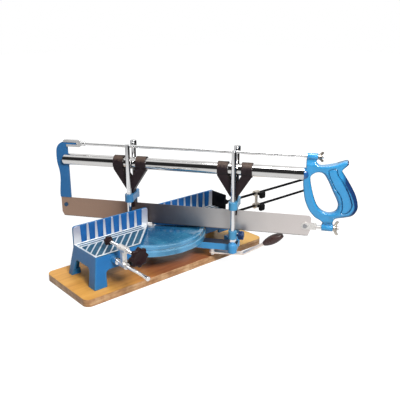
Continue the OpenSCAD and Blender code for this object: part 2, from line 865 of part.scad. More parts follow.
module lever_bolt() {
    color(bright) at_lever() {
        rod_z(lever_low - face_gap, arm_top - 4, lever_bolt_d / 2);
        rod_z(lever_top + face_gap, arm_bottom, lever_bolt_d / 2 + 3);
        rod_z(lever_low - face_gap - 3.5, lever_low - face_gap, lever_bolt_d / 2 + 1.2);
    }
}

// The grip's axis starts at the end of the lever's rising part
module at_grip() {
    at_lever() rotate([0, 0, lever_turn]) translate([rise_end[0], 0, rise_end[1]])
        rotate([0, 90 - lever_slope, 0]) children();
}

module lever() {
    across = lever_t / 2 * [-sin(lever_slope), cos(lever_slope)];
    lift = lever_t * tan(lever_slope / 2);
    color(bright) {
        at_lever() rotate([0, 0, lever_turn]) difference() {
            union() {
                upright(-lever_width / 2, lever_width / 2)
                    polygon([[0, lever_low], [lever_run + lift / 2, lever_low], rise_end - across,
                        rise_end + across,
                        [lever_run - lift / 2, lever_top], [0, lever_top]]);
                rod_z(lever_low, lever_top, lever_width / 2);
            }
            rod_z(lever_low - 1, lever_top + 1, lever_bolt_d / 2 + run_fit);
        }
        at_grip() rod_z(-tang_root, tang_l, tang_r);
    }
}

module lever_grip() {
    e = lever_grip_end / 2;
    belly = (lever_grip_d - lever_grip_end) / 2;
    profile = concat([[tang_r, 0]],
        [for (i = [0:16]) [e + belly * pow(sin(i * 180 / 16), 0.8), i * lever_grip_l / 16]],
        [[0, lever_grip_l], [0, tang_l], [tang_r, tang_l]]);
    color(dark) at_grip() rotate_extrude() polygon(profile);
}

module posts(x) {
    color(bright) on_arm() at_posts(x) difference() {
        rod_z(post_bottom, post_top, post_r);
        rod_z(post_bottom - 1, post_top + 1, post_bore);
    }
}

module front_posts() {
    posts(front_post);
}

module rear_posts() {
    posts(-rear_post);
}

// Cap over the end of a far post, with a set screw facing the blade
module post_cap(x) {
    color(bright) on_arm() translate([x, half_spacing, 0]) difference() {
        union() {
            rod_z(post_top + cap_over - cap_height, post_top + cap_over - 1, cap_d / 2);
            rod_z(post_top + cap_over - 1, post_top + cap_over, cap_d / 2 - 0.8);
        }
        rod_z(post_top - cap_height, post_top, post_r);
        translate([0, 0, cap_screw_z]) rod_y(-cap_d, -post_r, cap_screw_d / 2);
    }
}

module post_plug(x) {
    color(bright) on_arm() translate([x, -half_spacing, 0]) {
        rod_z(post_top - plug_length, post_top, post_bore);
        rod_z(post_top, post_top + 1.5, post_r - 0.5);
    }
}

module front_cap() {
    post_cap(front_post);
}

module rear_cap() {
    post_cap(-rear_post);
}

module front_plug() {
    post_plug(front_post);
}

module rear_plug() {
    post_plug(-rear_post);
}

module cap_screws() {
    color("#555559") on_arm() for (x = posts_x)
        translate([x, half_spacing, cap_screw_z]) rod_y(-cap_d / 2 + 0.4, -post_r, cap_screw_d / 2);
}

// Dark V piece: two rings on the back tube, arms that meet below, and a stem over the blade's back
module carrier(x) {
    half = carrier_length / 2;
    gap = half - ring_length;
    neck = stem_length / 2 + 2;
    join = crosshead_z + crosshead_height + 9;
    low = tube_z - tube_r;
    bore = tube_r + run_fit;
    color(dark) on_arm() translate([x, 0, 0]) difference() {
        union() {
            upright(-carrier_width / 2, carrier_width / 2)
                polygon([[-half, tube_z], [-half, low], [-neck, join], [neck, join], [half, low], [half,
                    tube_z],
                    [gap, tube_z], [gap, low], [0, join + 22], [-gap, low], [-gap, tube_z]]);
            for (s = [-half, gap]) translate([0, 0, tube_z]) rod_x(s, s + ring_length, bore + ring_wall);
            translate([-stem_length / 2, -stem_width / 2, stem_bottom])
                cube([stem_length, stem_width, join - stem_bottom + 1]);
        }
        translate([0, 0, tube_z]) rod_x(-half - 1, half + 1, bore);
        translate([-half, -blade_t / 2 - slot_fit, stem_bottom - 1])
            cube([2 * half, blade_t + 2 * slot_fit, blade_top + face_gap - stem_bottom + 1]);
        at_posts(0) rod_z(stem_bottom - 1, post_top, post_r + 0.2);
    }
}

module front_carrier() {
    carrier(front_post);
}

module rear_carrier() {
    carrier(-rear_post);
}

module crosshead(x) {
    color(paint) on_arm() translate([x, 0, crosshead_z]) difference() {
        union() {
            translate([-crosshead_d / 2, -half_spacing, 2])
                cube([crosshead_d, post_spacing, crosshead_height - 2]);
            at_posts(0) cylinder(h = crosshead_height, d = crosshead_d);
        }
        at_posts(0) translate([0, 0, -1]) cylinder(h = crosshead_height + 2, r = post_r);
        translate([-stem_length / 2, -stem_width / 2, -1]) cube([stem_length, stem_width,
            crosshead_height + 2]);
    }
}

module front_crosshead() {
    crosshead(front_post);
}

module rear_crosshead() {
    crosshead(-rear_post);
}

// Depth collars on a pair of posts; the near one is tapped for its knob's screw towards dir
module collars(x, d, dir) {
    color(paint) on_arm() difference() {
        at_posts(x) rod_z(post_bottom, post_bottom + collar_height, d / 2);
        at_posts(x) rod_z(post_bottom - 1, post_bottom + collar_height + 1, post_r);
        translate([x, -half_spacing, collar_mid]) rotate([0, dir * 90, 0])
            cylinder(h = d, r = depth_screw_d / 2 + run_fit);
    }
}

module front_collars() {
    collars(front_post, front_collar_d, 1);
}

module rear_collars() {
    collars(-rear_post, rear_collar_d, -1);
}

module star(r, t, lobes) {
    lobe = r * 0.3;
    cylinder(h = t, r = r * 0.76);
    for (i = [0:lobes - 1]) rotate([0, 0, i * 360 / lobes]) translate([r - lobe, 0, 0]) cylinder(h = t,
        r = lobe);
}

module depth_knob(x, d, dir) {
    color("#1d4f8f") on_arm() translate([x, -half_spacing, collar_mid]) rotate([0, dir * 90, 0]) {
        translate([0, 0, post_r + face_gap]) cylinder(h = d / 2 - post_r + 4, r = depth_screw_d / 2);
        translate([0, 0, d / 2 + 3]) star(depth_knob_d / 2, depth_knob_t, 6);
    }
}

module front_depth_knob() {
    depth_knob(front_post, front_collar_d, 1);
}

module rear_depth_knob() {
    depth_knob(-rear_post, rear_collar_d, -1);
}

module back_tube() {
    back = -blade_back + tube_inset;
    round_r = 20;
    color(bright) on_arm() difference() {
        translate([0, 0, tube_z]) difference() {
            rod_x(back, tube_end, tube_r);
            rod_x(back - 1, tube_end + 1, tube_r - tube_wall);
        }
        translate([back - 1, -bow_t / 2, tube_z - tube_r - 1]) cube([-bow_inner - back + 1, bow_t,
            tube_d + 2]);
        upright(-tube_r - 1, tube_r + 1) difference() {
            translate([back - 1, tube_z - tube_r - 1]) square([round_r / 2, tube_d + 2]);
            translate([back + round_r, tube_z]) circle(round_r);
        }
    }
}

module bow() {
    out = bow_inner + bow_width;
    w = bow_waist;
    top = rod_z + fork_slot / 2;
    mid = (tube_z + blade_top) / 2;
    side = open_spline([[-bow_inner - 8, top], [-out + 10, top - 3], [-out + 3, top - 11], [-out,
        top - 22],
        [-out, tube_z - 6], [-out + w - 1, mid + 18], [-out + w, mid], [-out + 2, blade_top + 14],
        [-out + 2, blade_top], [-out + 4, bow_pin[1] - 6], [bow_pin[0], bow_pin[1] - 10],
        [-bow_inner - 2, bow_pin[1] - 6]], 5);
    outline = concat(side, [[-bow_inner, bow_pin[1]], [-bow_inner, rod_z - fork_slot / 2],
        [-bow_inner + fork_length / 2, rod_z - fork_slot / 2], [-bow_inner + fork_length / 2, top]]);
    color(paint) on_arm() difference() {
        upright(-bow_t / 2, bow_t / 2) polygon(outline);
        translate([-out - 1, -bow_t / 2 - 1, bow_pin[1] - 20])
            cube([bow_width + 2, bow_t / 2 + 1 + blade_t / 2, bow_lap - bow_pin[1] + 20]);
        translate([bow_pin[0], 0, bow_pin[1]]) rod_y(-1, bow_t, pin_d / 2);
        translate([-bow_inner + fork_length / 4, 0, 0]) rod_z(rod_z - fork_slot, rod_z + fork_slot,
            pin_d / 3);
    }
}

module tension_rod() {
    x0 = -bow_inner;
    x1 = x0 + fork_length - 10;
    h = fork_height / 2;
    s = fork_slot / 2;
    color(bright) on_arm() difference() {
        union() {
            upright(-fork_t / 2, fork_t / 2) polygon([[x0 - 8, rod_z + s], [x0 - 7, rod_z + h - 1.5],
                [x0 - 5, rod_z + h], [x1 - 2, rod_z + h], [x1 + 4, rod_z + h - 4], [x1 + 4,
                    rod_z - h + 4],
                [x1 - 2, rod_z - h], [x0, rod_z - h], [x0, rod_z - s], [x1 - 6, rod_z - s], [x1 - 6,
                    rod_z + s]]);
            translate([0, 0, rod_z]) rod_x(x1 + 4, x1 + 10, rod_r + 1.3);
            translate([0, 0, rod_z]) rod_x(x1 + 10, upper_x + upper_sleeve + face_gap + wing_hub + 3,
                rod_r);
        }
        translate([x0 + fork_length / 4, 0, 0]) rod_z(rod_z - h - 1, rod_z + h + 1, pin_d / 3);
    }
}

module fork_pin() {
    color(bright) on_arm() translate([-bow_inner + fork_length / 4, 0, 0])
        rod_z(rod_z - fork_height / 2, rod_z + fork_height / 2, pin_d / 3);
}

// Room for a wing nut to turn, past the end of its sleeve
module wing_space(x, z, span) {
    translate([0, 0, z]) rod_x(x, x + wing_hub + 6, span / 2 + 1);
}

// Rounded boss behind the tube's end, with a spigot inside the tube
module tube_boss() {
    spigot_r = tube_r - tube_wall;
    translate([tube_end, 0, tube_z]) rotate([0, 90, 0]) rotate_extrude()
        polygon(concat([[0, -spigot_length], [spigot_r, -spigot_length], [spigot_r, 0]],
            [for (a = [0:10:80]) [tube_r * cos(a), nose_length * sin(a)]], [[0, nose_length]]));
}

module handle() {
    color(paint) on_arm() tube_boss();
    color(paint) on_arm() difference() {
        union() {
            upright(-handle_t / 2, handle_t / 2) difference() {
                polygon(spline(on_handle(handle_outline), 4));
                polygon(spline(on_handle(finger_hole), 5));
            }
            upright(-grip_t / 2, grip_t / 2) polygon(spline(on_handle(grip_panel), 4));
            translate([0, 0, rod_z]) rod_x(upper_x, upper_x + upper_sleeve, upper_sleeve_d / 2);
            translate([0, 0, blade_axis]) rod_x(lower_x, lower_x + lower_sleeve, lower_sleeve_d / 2);
        }
        translate([0, 0, tube_z]) rod_x(handle_x - 20, tube_end, tube_r);
        translate([0, 0, rod_z]) rod_x(upper_x - 20, upper_x + upper_sleeve + 20, rod_r + run_fit);
        translate([0, 0, blade_axis])
            rod_x(lower_x - 20, lower_x + lower_sleeve + 20, clevis_screw_d / 2 + run_fit);
        wing_space(upper_x + upper_sleeve, rod_z, upper_wing);
        wing_space(lower_x + lower_sleeve, blade_axis, lower_wing);
    }
}

module blade() {
    c = blade_chamfer;
    x0 = -blade_back;
    x1 = blade_front;
    count = floor((blade_length - 2 * c) / tooth_pitch);
    teeth = [for (i = [0:count - 1]) for (k = [0, 1])
        [x0 + c + (i + k) * tooth_pitch - k * 0.02, blade_bottom + k * tooth_depth]];
    color("#b9b4ad") on_arm() difference() {
        upright(-blade_t / 2, blade_t / 2) polygon(concat(teeth,
            [[x1 - c, blade_bottom + tooth_depth], [x1, blade_bottom + tooth_depth + 3 * c], [x1,
                blade_top - c],
            [x1 - c, blade_top], [x0, blade_top], [x0, blade_bottom + 2 * c]]));
        for (p = [bow_pin, clevis_pin]) translate([p[0], 0, p[1]]) rod_y(-2, 2, pin_d / 2);
    }
}

module bow_pin_rivet() {
    far = bow_t / 2;
    color("#3d5f8c") on_arm() translate([bow_pin[0], 0, bow_pin[1]]) {
        rod_y(-blade_t / 2, far, pin_d / 2);
        rod_y(-blade_t / 2 - 2, -blade_t / 2, pin_head / 2);
        rod_y(far, far + 2, pin_head / 2);
    }
}

module clevis() {
    b = blade_t / 2;
    x1 = blade_front + clevis_length;
    r = clevis_height / 2;
    end = lower_x + lower_sleeve + face_gap + wing_hub + 4;
    color(bright) on_arm() difference() {
        union() {
            upright(-b - clevis_cheek, b + clevis_cheek) {
                translate(clevis_pin) circle(r);
                translate([clevis_pin[0], blade_axis - r + 1]) square([x1 - clevis_pin[0],
                    clevis_height - 2]);
            }
            translate([0, 0, blade_axis]) rod_x(x1 - 2, end, clevis_screw_d / 2);
        }
        translate([clevis_pin[0] - r - 1, -b, blade_axis - r - 1])
            cube([blade_front + 5 - clevis_pin[0] + r + 1, blade_t, clevis_height + 2]);
        translate([clevis_pin[0], 0, blade_axis]) rod_y(-b - clevis_cheek - 1, b + clevis_cheek + 1,
            pin_d / 2);
    }
}

module clevis_rivet() {
    w = blade_t / 2 + clevis_cheek;
    color(bright) on_arm() translate([clevis_pin[0], 0, blade_axis]) {
        rod_y(-w, w, pin_d / 2);
        for (y = [-w - 1.5, w]) rod_y(y, y + 1.5, pin_head / 2);
    }
}

module wing_nut(bore, hub, span) {
    l = wing_hub;
    t = 2.5;
    difference() {
        union() {
            rod_x(0, l, hub);
            for (side = [-1, 1]) upright(-t / 2, t / 2)
                polygon([for (p = [[1, hub - 1.5], [l - 1, hub - 1.5], [l + 3, span / 2 - 3], [l + 2.5,
                    span / 2 - 1],
                    [l, span / 2], [l - 3, span / 2 - 1], [l - 4.5, span / 2 - 4]]) [p[0], side * p[1]]]);
        }
        rod_x(-1, l + 1, bore);
    }
}

module upper_wing_nut() {
    color(bright) on_arm() translate([upper_x + upper_sleeve + face_gap, 0, rod_z])
        wing_nut(rod_r + run_fit, rod_r + 2.5, upper_wing);
}

module lower_wing_nut() {
    color(bright) on_arm() translate([lower_x + lower_sleeve + face_gap, 0, blade_axis])
        wing_nut(clevis_screw_d / 2 + run_fit, clevis_screw_d / 2 + 3, lower_wing);
}

module at_bracket() {
    translate([-clamp_at, bracket_y, rods_z]) children();
}

module clamp_bracket() {
    color(bright) at_bracket() difference() {
        union() {
            rod_y(-bracket_hub / 2, bracket_hub / 2, bracket_hub_d / 2);
            translate([0, 0, bracket_rise]) rod_y(-bracket_nut / 2, bracket_nut / 2, bracket_hub_d / 2);
            translate([-bracket_web / 2, -4, 0]) cube([bracket_web, 8, bracket_rise]);
        }
        rod_y(-bracket_hub, bracket_hub, clamp_rod_r + run_fit);
        translate([0, 0, bracket_rise]) rod_y(-bracket_nut, bracket_nut, spindle_r + run_fit);
        rod_x(0, bracket_hub_d, thumb_screw_d / 2 + run_fit);
    }
}

// Thumb screw pointing up Z from a shaft of radius r in a hub of radius hub
module thumb_screw(r, hub) {
    rod_z(r + face_gap, hub + 2, thumb_screw_d / 2);
    rod_z(hub + face_gap, hub + thumb_neck, thumb_screw_d / 2 + 1.5);
    translate([0, 0, hub + thumb_neck]) star(thumb_head_d / 2, thumb_head_t, 4);
}

module clamp_lock_screw() {
    color(black) at_bracket() rotate([0, 90, 0]) thumb_screw(clamp_rod_r, bracket_hub_d / 2);
}

module at_spindle() {
    translate([-clamp_at, bracket_y, spindle_z]) children();
}

module clamp_pad() {
    color(black) at_spindle() difference() {
        union() {
            translate([0, pad_out, 0]) rotate([90, 0, 0]) star(clamp_pad_d / 2, clamp_pad_t, 6);
            rod_y(pad_out - clamp_pad_t - 6, pad_out - clamp_pad_t, clamp_pad_d / 2 - 4);
        }
        rod_y(0, pad_out - 3, spindle_r + run_fit);
    }
}

module clamp_spindle() {
    color(bright) at_spindle() rod_y(-knob_out - star_t + 3, pad_out - 3 - face_gap, spindle_r);
}

module clamp_knob() {
    color(black) at_spindle() difference() {
        rotate([90, 0, 0]) translate([0, 0, knob_out]) star(star_d / 2, star_t, 6);
        rod_y(-knob_out - star_t + 3, -knob_out + 1, spindle_r);
    }
}

module at_slider() {
    translate([slider_x, -stop_rod_y, rods_z]) children();
}

module stop_slider() {
    h = slider_hub / 2;
    color(bright) at_slider() difference() {
        union() {
            for (z = [0, stop_spacing]) translate([0, 0, z]) rod_x(-h, h, slider_hub_d / 2);
            translate([-slider_waist / 2, -slider_waist / 2, 0])
                cube([slider_waist, slider_waist, stop_spacing]);
        }
        for (z = [0, stop_spacing]) translate([0, 0, z]) {
            rod_x(-h - 1, h + 1, stop_r + run_fit);
            rod_y(-slider_hub_d, 0, thumb_screw_d / 2 + run_fit);
        }
    }
}

module lower_stop_screw() {
    color(black) at_slider() rotate([90, 0, 0]) thumb_screw(stop_r, slider_hub_d / 2);
}

module upper_stop_screw() {
    color(black) at_slider() translate([0, 0, stop_spacing]) rotate([90, 0, 0])
        thumb_screw(stop_r, slider_hub_d / 2);
}

module stop_bar() {
    color(black) translate([0, -stop_rod_y, upper_stop_z])
        rod_x(stop_plate_x + stop_plate_t, stop_plate_x + stop_rod_length, stop_r);
}

module stop_plate() {
    z0 = table_top + stop_clear;
    color(black) {
        translate([stop_plate_x, -stop_clear - stop_plate_w, z0])
            cube([stop_plate_t, stop_plate_w, fence_top - stop_clear - z0]);
        translate([stop_plate_x + stop_plate_t, -stop_rod_y, upper_stop_z]) difference() {
            rod_x(0, 8, stop_r + 2.5);
            rod_x(-1, 9, stop_r);
        }
    }
}

board();
left_table();
right_table();
segment();
board_screws();
segment_screws();
pivot_bolt();
pivot_washer();
pivot_nut();
clamp_rod();
clamp_rod_collar();
stop_rod();
stop_rod_collar();
swivel_arm();
pivot_bush();
front_guide_pins();
rear_guide_pins();
front_seats();
rear_seats();
lever_bolt();
lever();
lever_grip();
front_posts();
rear_posts();
front_cap();
rear_cap();
front_plug();
rear_plug();
cap_screws();
front_carrier();
rear_carrier();
front_crosshead();
rear_crosshead();
front_collars();
rear_collars();
front_depth_knob();
rear_depth_knob();
back_tube();
bow();
tension_rod();
fork_pin();
handle();
blade();
bow_pin_rivet();
clevis();
clevis_rivet();
upper_wing_nut();
lower_wing_nut();
clamp_bracket();
clamp_lock_screw();
clamp_pad();
clamp_spindle();
clamp_knob();
stop_slider();
lower_stop_screw();
upper_stop_screw();
stop_bar();
stop_plate();
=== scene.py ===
"""Manual mitre saw: materials, rounded pieces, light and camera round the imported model."""
import json
import math

import bmesh
import bpy
from mathutils import Matrix, Vector
from mathutils.geometry import delaunay_2d_cdt
from mathutils.kdtree import KDTree


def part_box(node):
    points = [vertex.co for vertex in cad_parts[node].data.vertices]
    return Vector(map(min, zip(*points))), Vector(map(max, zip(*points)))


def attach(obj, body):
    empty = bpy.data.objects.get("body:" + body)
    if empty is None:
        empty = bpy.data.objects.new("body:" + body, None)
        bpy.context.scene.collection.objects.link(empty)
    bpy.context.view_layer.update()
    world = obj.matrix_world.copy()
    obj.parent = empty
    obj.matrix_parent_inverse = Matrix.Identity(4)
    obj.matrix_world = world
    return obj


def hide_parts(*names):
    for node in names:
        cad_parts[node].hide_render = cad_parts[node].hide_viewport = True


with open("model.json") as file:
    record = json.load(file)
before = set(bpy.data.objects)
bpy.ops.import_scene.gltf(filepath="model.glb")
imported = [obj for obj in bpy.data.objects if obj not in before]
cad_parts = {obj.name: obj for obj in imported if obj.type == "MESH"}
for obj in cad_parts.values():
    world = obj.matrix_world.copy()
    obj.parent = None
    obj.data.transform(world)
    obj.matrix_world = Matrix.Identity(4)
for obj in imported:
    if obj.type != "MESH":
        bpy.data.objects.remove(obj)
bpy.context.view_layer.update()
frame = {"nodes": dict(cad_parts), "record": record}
nodes = frame["nodes"]
scene = bpy.context.scene

MM = 0.001
AMBIENT = 0.24
COAT_ROUGH = 0.12
# A face is level, or looks to the front, where that part of its normal is over this
FLAT = 0.7
# Sizes in mm that the paint follows: the arm's top, the tables' ribs and pockets, the fence's two faces
ARM_TOP = 54
TABLE_TOP, POCKET_FLOOR, SKIN = 83, 80.9, 0.05
POCKET_SIDE, POCKET_FRONT, POCKET_BACK = 184.6, -91.6, -0.5
FENCE_FACE, FENCE_PANEL = (-0.1, 0.1), (0.9, 1.5)
# Degrees between the blade and a square cut
MITRE = 36
TURN = math.radians(MITRE - 90)
# The arm's own axes: along the blade, up, and out to the near side
ALONG = Vector((math.cos(TURN), math.sin(TURN), 0))
UP = Vector((0, 0, 1))
NEAR = ALONG.cross(UP)
# Plane of the blade as a matrix: X along the blade, Y up, Z to the near side
BLADE_PLANE = Matrix((ALONG, UP, NEAR)).transposed().to_4x4()


# Materials

class Shader:
    """A Principled material and short ways to add nodes to it."""

    def __init__(self, name, color, rough, metal=0.0, coat=0.0, shine=0.5):
        self.mat = bpy.data.materials.new(name)
        self.mat.use_nodes = True
        self.tree = self.mat.node_tree
        self.bsdf = self.tree.nodes["Principled BSDF"]
        self.bsdf.inputs["Base Color"].default_value = (*color, 1)
        self.bsdf.inputs["Roughness"].default_value = rough
        self.bsdf.inputs["Metallic"].default_value = metal
        self.bsdf.inputs["Specular IOR Level"].default_value = shine
        if coat:
            self.bsdf.inputs["Coat Weight"].default_value = coat
            self.bsdf.inputs["Coat Roughness"].default_value = COAT_ROUGH
        self.place = self.add("ShaderNodeTexCoord").outputs["Object"]
        self.mat.diffuse_color = (*color, 1)

    def add(self, kind, **settings):
        node = self.tree.nodes.new(kind)
        for key, value in settings.items():
            setattr(node, key, value)
        return node

    def put(self, socket, value):
        if isinstance(value, bpy.types.NodeSocket):
            self.tree.links.new(value, socket)
        elif isinstance(value, tuple) and len(value) == 3 and len(socket.default_value) == 4:
            socket.default_value = (*value, 1)
        else:
            socket.default_value = value

    def math(self, operation, a, b=0.0):
        node = self.add("ShaderNodeMath", operation=operation)
        self.put(node.inputs[0], a)
        self.put(node.inputs[1], b)
        return node.outputs[0]

    def stretched(self, scale, turn=0.0):
        """The place in the part's frame, turned about Z and scaled along each axis."""
        node = self.add("ShaderNodeMapping", vector_type="POINT")
        self.put(node.inputs["Vector"], self.place)
        node.inputs["Rotation"].default_value = (0, 0, turn)
        node.inputs["Scale"].default_value = scale
        return node.outputs["Vector"]

    def noise(self, scale, detail=3.0, vector=None, rough=0.55):
        node = self.add("ShaderNodeTexNoise")
        self.put(node.inputs["Vector"], vector or self.place)
        node.inputs["Scale"].default_value = scale
        node.inputs["Detail"].default_value = detail
        node.inputs["Roughness"].default_value = rough
        return node.outputs["Fac"]

    def span(self, value, low, high, to_low=0.0, to_high=1.0):
        node = self.add("ShaderNodeMapRange", clamp=True)
        for socket, number in zip(node.inputs[:5], (value, low, high, to_low, to_high)):
            self.put(socket, number)
        return node.outputs["Result"]

    def ramp(self, value, stops):
        node = self.add("ShaderNodeValToRGB")
        self.put(node.inputs["Fac"], value)
        points = node.color_ramp.elements
        while len(points) < len(stops):
            points.new(0.5)
        for point, (at, color) in zip(points, stops):
            point.position = at
            point.color = (*color, 1)
        return node.outputs["Color"]

    def mix(self, share, a, b, how="MIX"):
        node = self.add("ShaderNodeMix", data_type="RGBA", blend_type=how)
        self.put(node.inputs["Factor"], share)
        self.put(node.inputs[6], a)
        self.put(node.inputs[7], b)
        return node.outputs[2]

    def between(self, value, low, high):
        """1 where a length in metres lies between two in mm."""
        over = self.math("GREATER_THAN", value, low * MM)
        return self.both(over, self.math("LESS_THAN", value, high * MM))

    def both(self, a, b):
        return self.math("MULTIPLY", a, b)

    def axis(self, name):
        node = self.add("ShaderNodeSeparateXYZ")
        self.put(node.inputs[0], self.place)
        return node.outputs[name]

    def facing(self, name):
        """A component of the surface's own normal in the part's frame."""
        node = self.add("ShaderNodeSeparateXYZ")
        self.put(node.inputs[0], self.add("ShaderNodeTexCoord").outputs["Normal"])
        return node.outputs[name]

    def toward(self, way, read):
        """What axis or facing reads, measured along a level way."""
        return self.math("ADD", self.both(read("X"), way.x), self.both(read("Y"), way.y))

    def level(self):
        """1 on faces that look up."""
        return self.math("GREATER_THAN", self.facing("Z"), FLAT)

    def edges(self, radius, high=0.98, low=0.85):
        """1 along the piece's edges, falling off within a radius."""
        bevel = self.add("ShaderNodeBevel", samples=4)
        bevel.inputs["Radius"].default_value = radius
        turn = self.add("ShaderNodeVectorMath", operation="DOT_PRODUCT")
        self.put(turn.inputs[0], bevel.outputs["Normal"])
        self.put(turn.inputs[1], self.add("ShaderNodeNewGeometry").outputs["Normal"])
        return self.span(turn.outputs["Value"], high, low)

    def fed(self, name):
        """The socket that feeds one of the shader's inputs."""
        return self.bsdf.inputs[name].links[0].from_socket

    def color(self, value):
        self.put(self.bsdf.inputs["Base Color"], value)

    def rough(self, value):
        self.put(self.bsdf.inputs["Roughness"], value)

    def metal(self, value):
        self.put(self.bsdf.inputs["Metallic"], value)

    def relief(self, height, strength, depth, edge=0.0):
        """Bump from a height, over edges that look rounded by the given radius."""
        node = self.add("ShaderNodeBump")
        node.inputs["Strength"].default_value = strength
        node.inputs["Distance"].default_value = depth
        self.put(node.inputs["Height"], height)
        if edge:
            bevel = self.add("ShaderNodeBevel", samples=4)
            bevel.inputs["Radius"].default_value = edge
            self.put(node.inputs["Normal"], bevel.outputs["Normal"])
        self.put(self.bsdf.inputs["Normal"], node.outputs["Normal"])


def paint(name, color, rough=0.34, coat=0.12, edge=1.2 * MM):
    """Stove enamel: slow colour drift, orange peel and a soft gloss."""
    s = Shader(name, color, rough, coat=coat, shine=0.3)
    drift = s.noise(24, 3)
    dark = tuple(c * 0.9 for c in color)
    light = tuple(min(1, c * 1.07 + 0.004) for c in color)
    s.color(s.ramp(drift, [(0.3, dark), (0.5, color), (0.72, light)]))
    s.rough(s.span(s.noise(140, 2), 0.3, 0.7, rough - 0.05, rough + 0.06))
    s.relief(s.noise(650, 2), 0.05, 0.2 * MM, edge)
    return s


def shaded_top_paint(name, color, height):
    """Enamel on an arm whose upper face, at a height in mm, is painted near-black as painted shade."""
    s = paint(name, color, rough=0.45, coat=0)
    top_shade = (0.013, 0.02, 0.04)
    # Painted shade: the upper face darkened to near-black
    top = s.both(s.between(s.axis("Z"), height - 0.4, height + 0.4), s.level())
    s.color(s.mix(top, s.fed("Base Color"), top_shade))
    return s


def grip_paint(name, color):
    """Gloss enamel with painted shade in the grooves, on the tube's nose and along the back of the grip."""
    s = paint(name, color, rough=0.24, coat=0.9, edge=0.4 * MM)
    # Painted shade: dark blue along the back of the grip, on the tube's nose, and in grooves and creases
    # where occlusion is high
    back_shade_blue, nose_shade_blue, groove_shade_blue = (0.012, 0.045, 0.16), (0.02, 0.12, 0.36), (0.004, 0.024, 0.1)
    along = s.toward(ALONG, s.axis)
    aside = s.math("ABSOLUTE", s.toward(NEAR, s.axis))
    back = s.both(s.span(s.toward(ALONG, s.facing), 0.0, 0.32), s.span(along, 0.4, 0.41))
    skin = s.mix(back, s.fed("Base Color"), back_shade_blue)
    nose = s.both(s.between(aside, 8.2, 20), s.between(along, 300, 346))
    nose = s.both(nose, s.between(s.axis("Z"), 200, 235))
    skin = s.mix(nose, skin, nose_shade_blue)
    hollow = s.add("ShaderNodeAmbientOcclusion", samples=8)
    hollow.inputs["Distance"].default_value = 5 * MM
    s.color(s.mix(s.span(hollow.outputs["AO"], 0.55, 0.9, 1.0, 0), skin, groove_shade_blue))
    return s


def cast_table(name, color):
    """Painted casting whose table ribs and fence ribs are ground bright."""
    s = paint(name, color, edge=4 * MM)
    painted, painted_rough = s.fed("Base Color"), s.fed("Roughness")
    x, y, z = s.axis("X"), s.axis("Y"), s.axis("Z")
    forward = s.math("LESS_THAN", s.facing("Y"), -FLAT)
    top = s.both(s.between(z, TABLE_TOP - SKIN, TABLE_TOP + 2 * SKIN), s.level())
    face = s.both(s.between(y, *FENCE_FACE), forward)
    face = s.both(face, s.math("GREATER_THAN", z, TABLE_TOP * MM))
    # Below the ribs: the pockets and the long grooves, with their walls, in a dark teal that is partly
    # their paint and partly painted shade
    sunk = s.between(z, POCKET_FLOOR, TABLE_TOP - SKIN)
    sunk = s.both(sunk, s.between(s.math("ABSOLUTE", x), -1, POCKET_SIDE))
    sunk = s.both(sunk, s.between(y, POCKET_FRONT, POCKET_BACK))
    panel = s.both(s.between(y, *FENCE_PANEL), forward)
    teal_and_shade = s.ramp(s.noise(120, 4), [(0.35, (0.014, 0.07, 0.13)), (0.65, (0.036, 0.14, 0.22))])
    blue = s.ramp(s.noise(60, 3), [(0.3, (0.008, 0.09, 0.3)), (0.7, (0.014, 0.13, 0.4))])
    # Painted highlight: paler blue along the casting's edges, as on its rounded front corners
    corner = s.both(s.edges(7 * MM, 0.99, 0.8), 0.45)
    corner_highlight_blue, rib_top = (0.1, 0.42, 0.72), (0.5, 0.52, 0.66)
    painted = s.mix(corner, painted, corner_highlight_blue)
    body = s.mix(panel, s.mix(sunk, painted, teal_and_shade), blue)
    streak = s.noise(1.0, 3, s.stretched((30, 90, 60)))
    rail = s.ramp(streak, [(0.3, (0.78, 0.84, 0.87)), (0.6, (0.9, 0.94, 0.96))])
    foot = s.ramp(streak, [(0.3, (0.74, 0.74, 0.77)), (0.6, (0.9, 0.9, 0.93))])
    rib = s.mix(s.span(z, 0.088, 0.118), foot, rib_top)
    s.color(s.mix(face, s.mix(top, body, rail), rib))
    ground = s.math("MAXIMUM", top, face)
    s.metal(s.both(ground, 0.45))
    s.rough(s.mix(ground, painted_rough, s.span(streak, 0.3, 0.7, 0.3, 0.44)))
    return s


def cast_disc(name, color):
    """Thicker enamel on the mitre segment: a darker clouded recess, a paler rim and lip, a painted shadow
    towards the fence and a painted highlight along the rim's edges.
    """
    s = paint(name, color, rough=0.24, coat=1.0, edge=2 * MM)
    rim_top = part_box("segment")[1][2] / MM
    low = s.both(s.between(s.axis("Z"), rim_top - 6, rim_top - 0.8), s.level())
    cloud = s.span(s.noise(30, 4), 0.4, 0.66)
    recess = s.mix(cloud, (0.019, 0.165, 0.32), (0.05, 0.29, 0.48))
    fleck = s.span(s.noise(90, 3), 0.6, 0.74)
    recess = s.mix(s.both(fleck, 0.35), recess, (0.1, 0.36, 0.56))
    rim_blue = tuple(c * 1.5 + 0.03 for c in color)
    pale = s.mix(s.span(s.noise(18, 2), 0.42, 0.64), s.fed("Base Color"), rim_blue)
    # Painted shadow: darker towards the fence. Painted highlight: paler along the edges of the rim
    fence_shadow_blue, lip_highlight_blue = (0.008, 0.07, 0.19), (0.36, 0.62, 0.74)
    fence_shadow = s.both(s.span(s.axis("Y"), -0.095, -0.03), 0.75)
    skin = s.mix(low, pale, s.mix(fence_shadow, recess, fence_shadow_blue))
    lip_highlight = s.both(s.edges(4 * MM), s.span(s.noise(45, 3), 0.35, 0.6, 0.4, 0.9))
    lip_highlight = s.both(lip_highlight, s.math("SUBTRACT", 1.0, low))
    s.color(s.mix(lip_highlight, skin, lip_highlight_blue))
    s.relief(s.math("ADD", s.noise(60, 3), s.both(s.noise(420, 2), 0.2)), 0.1, 0.7 * MM, 2 * MM)
    return s


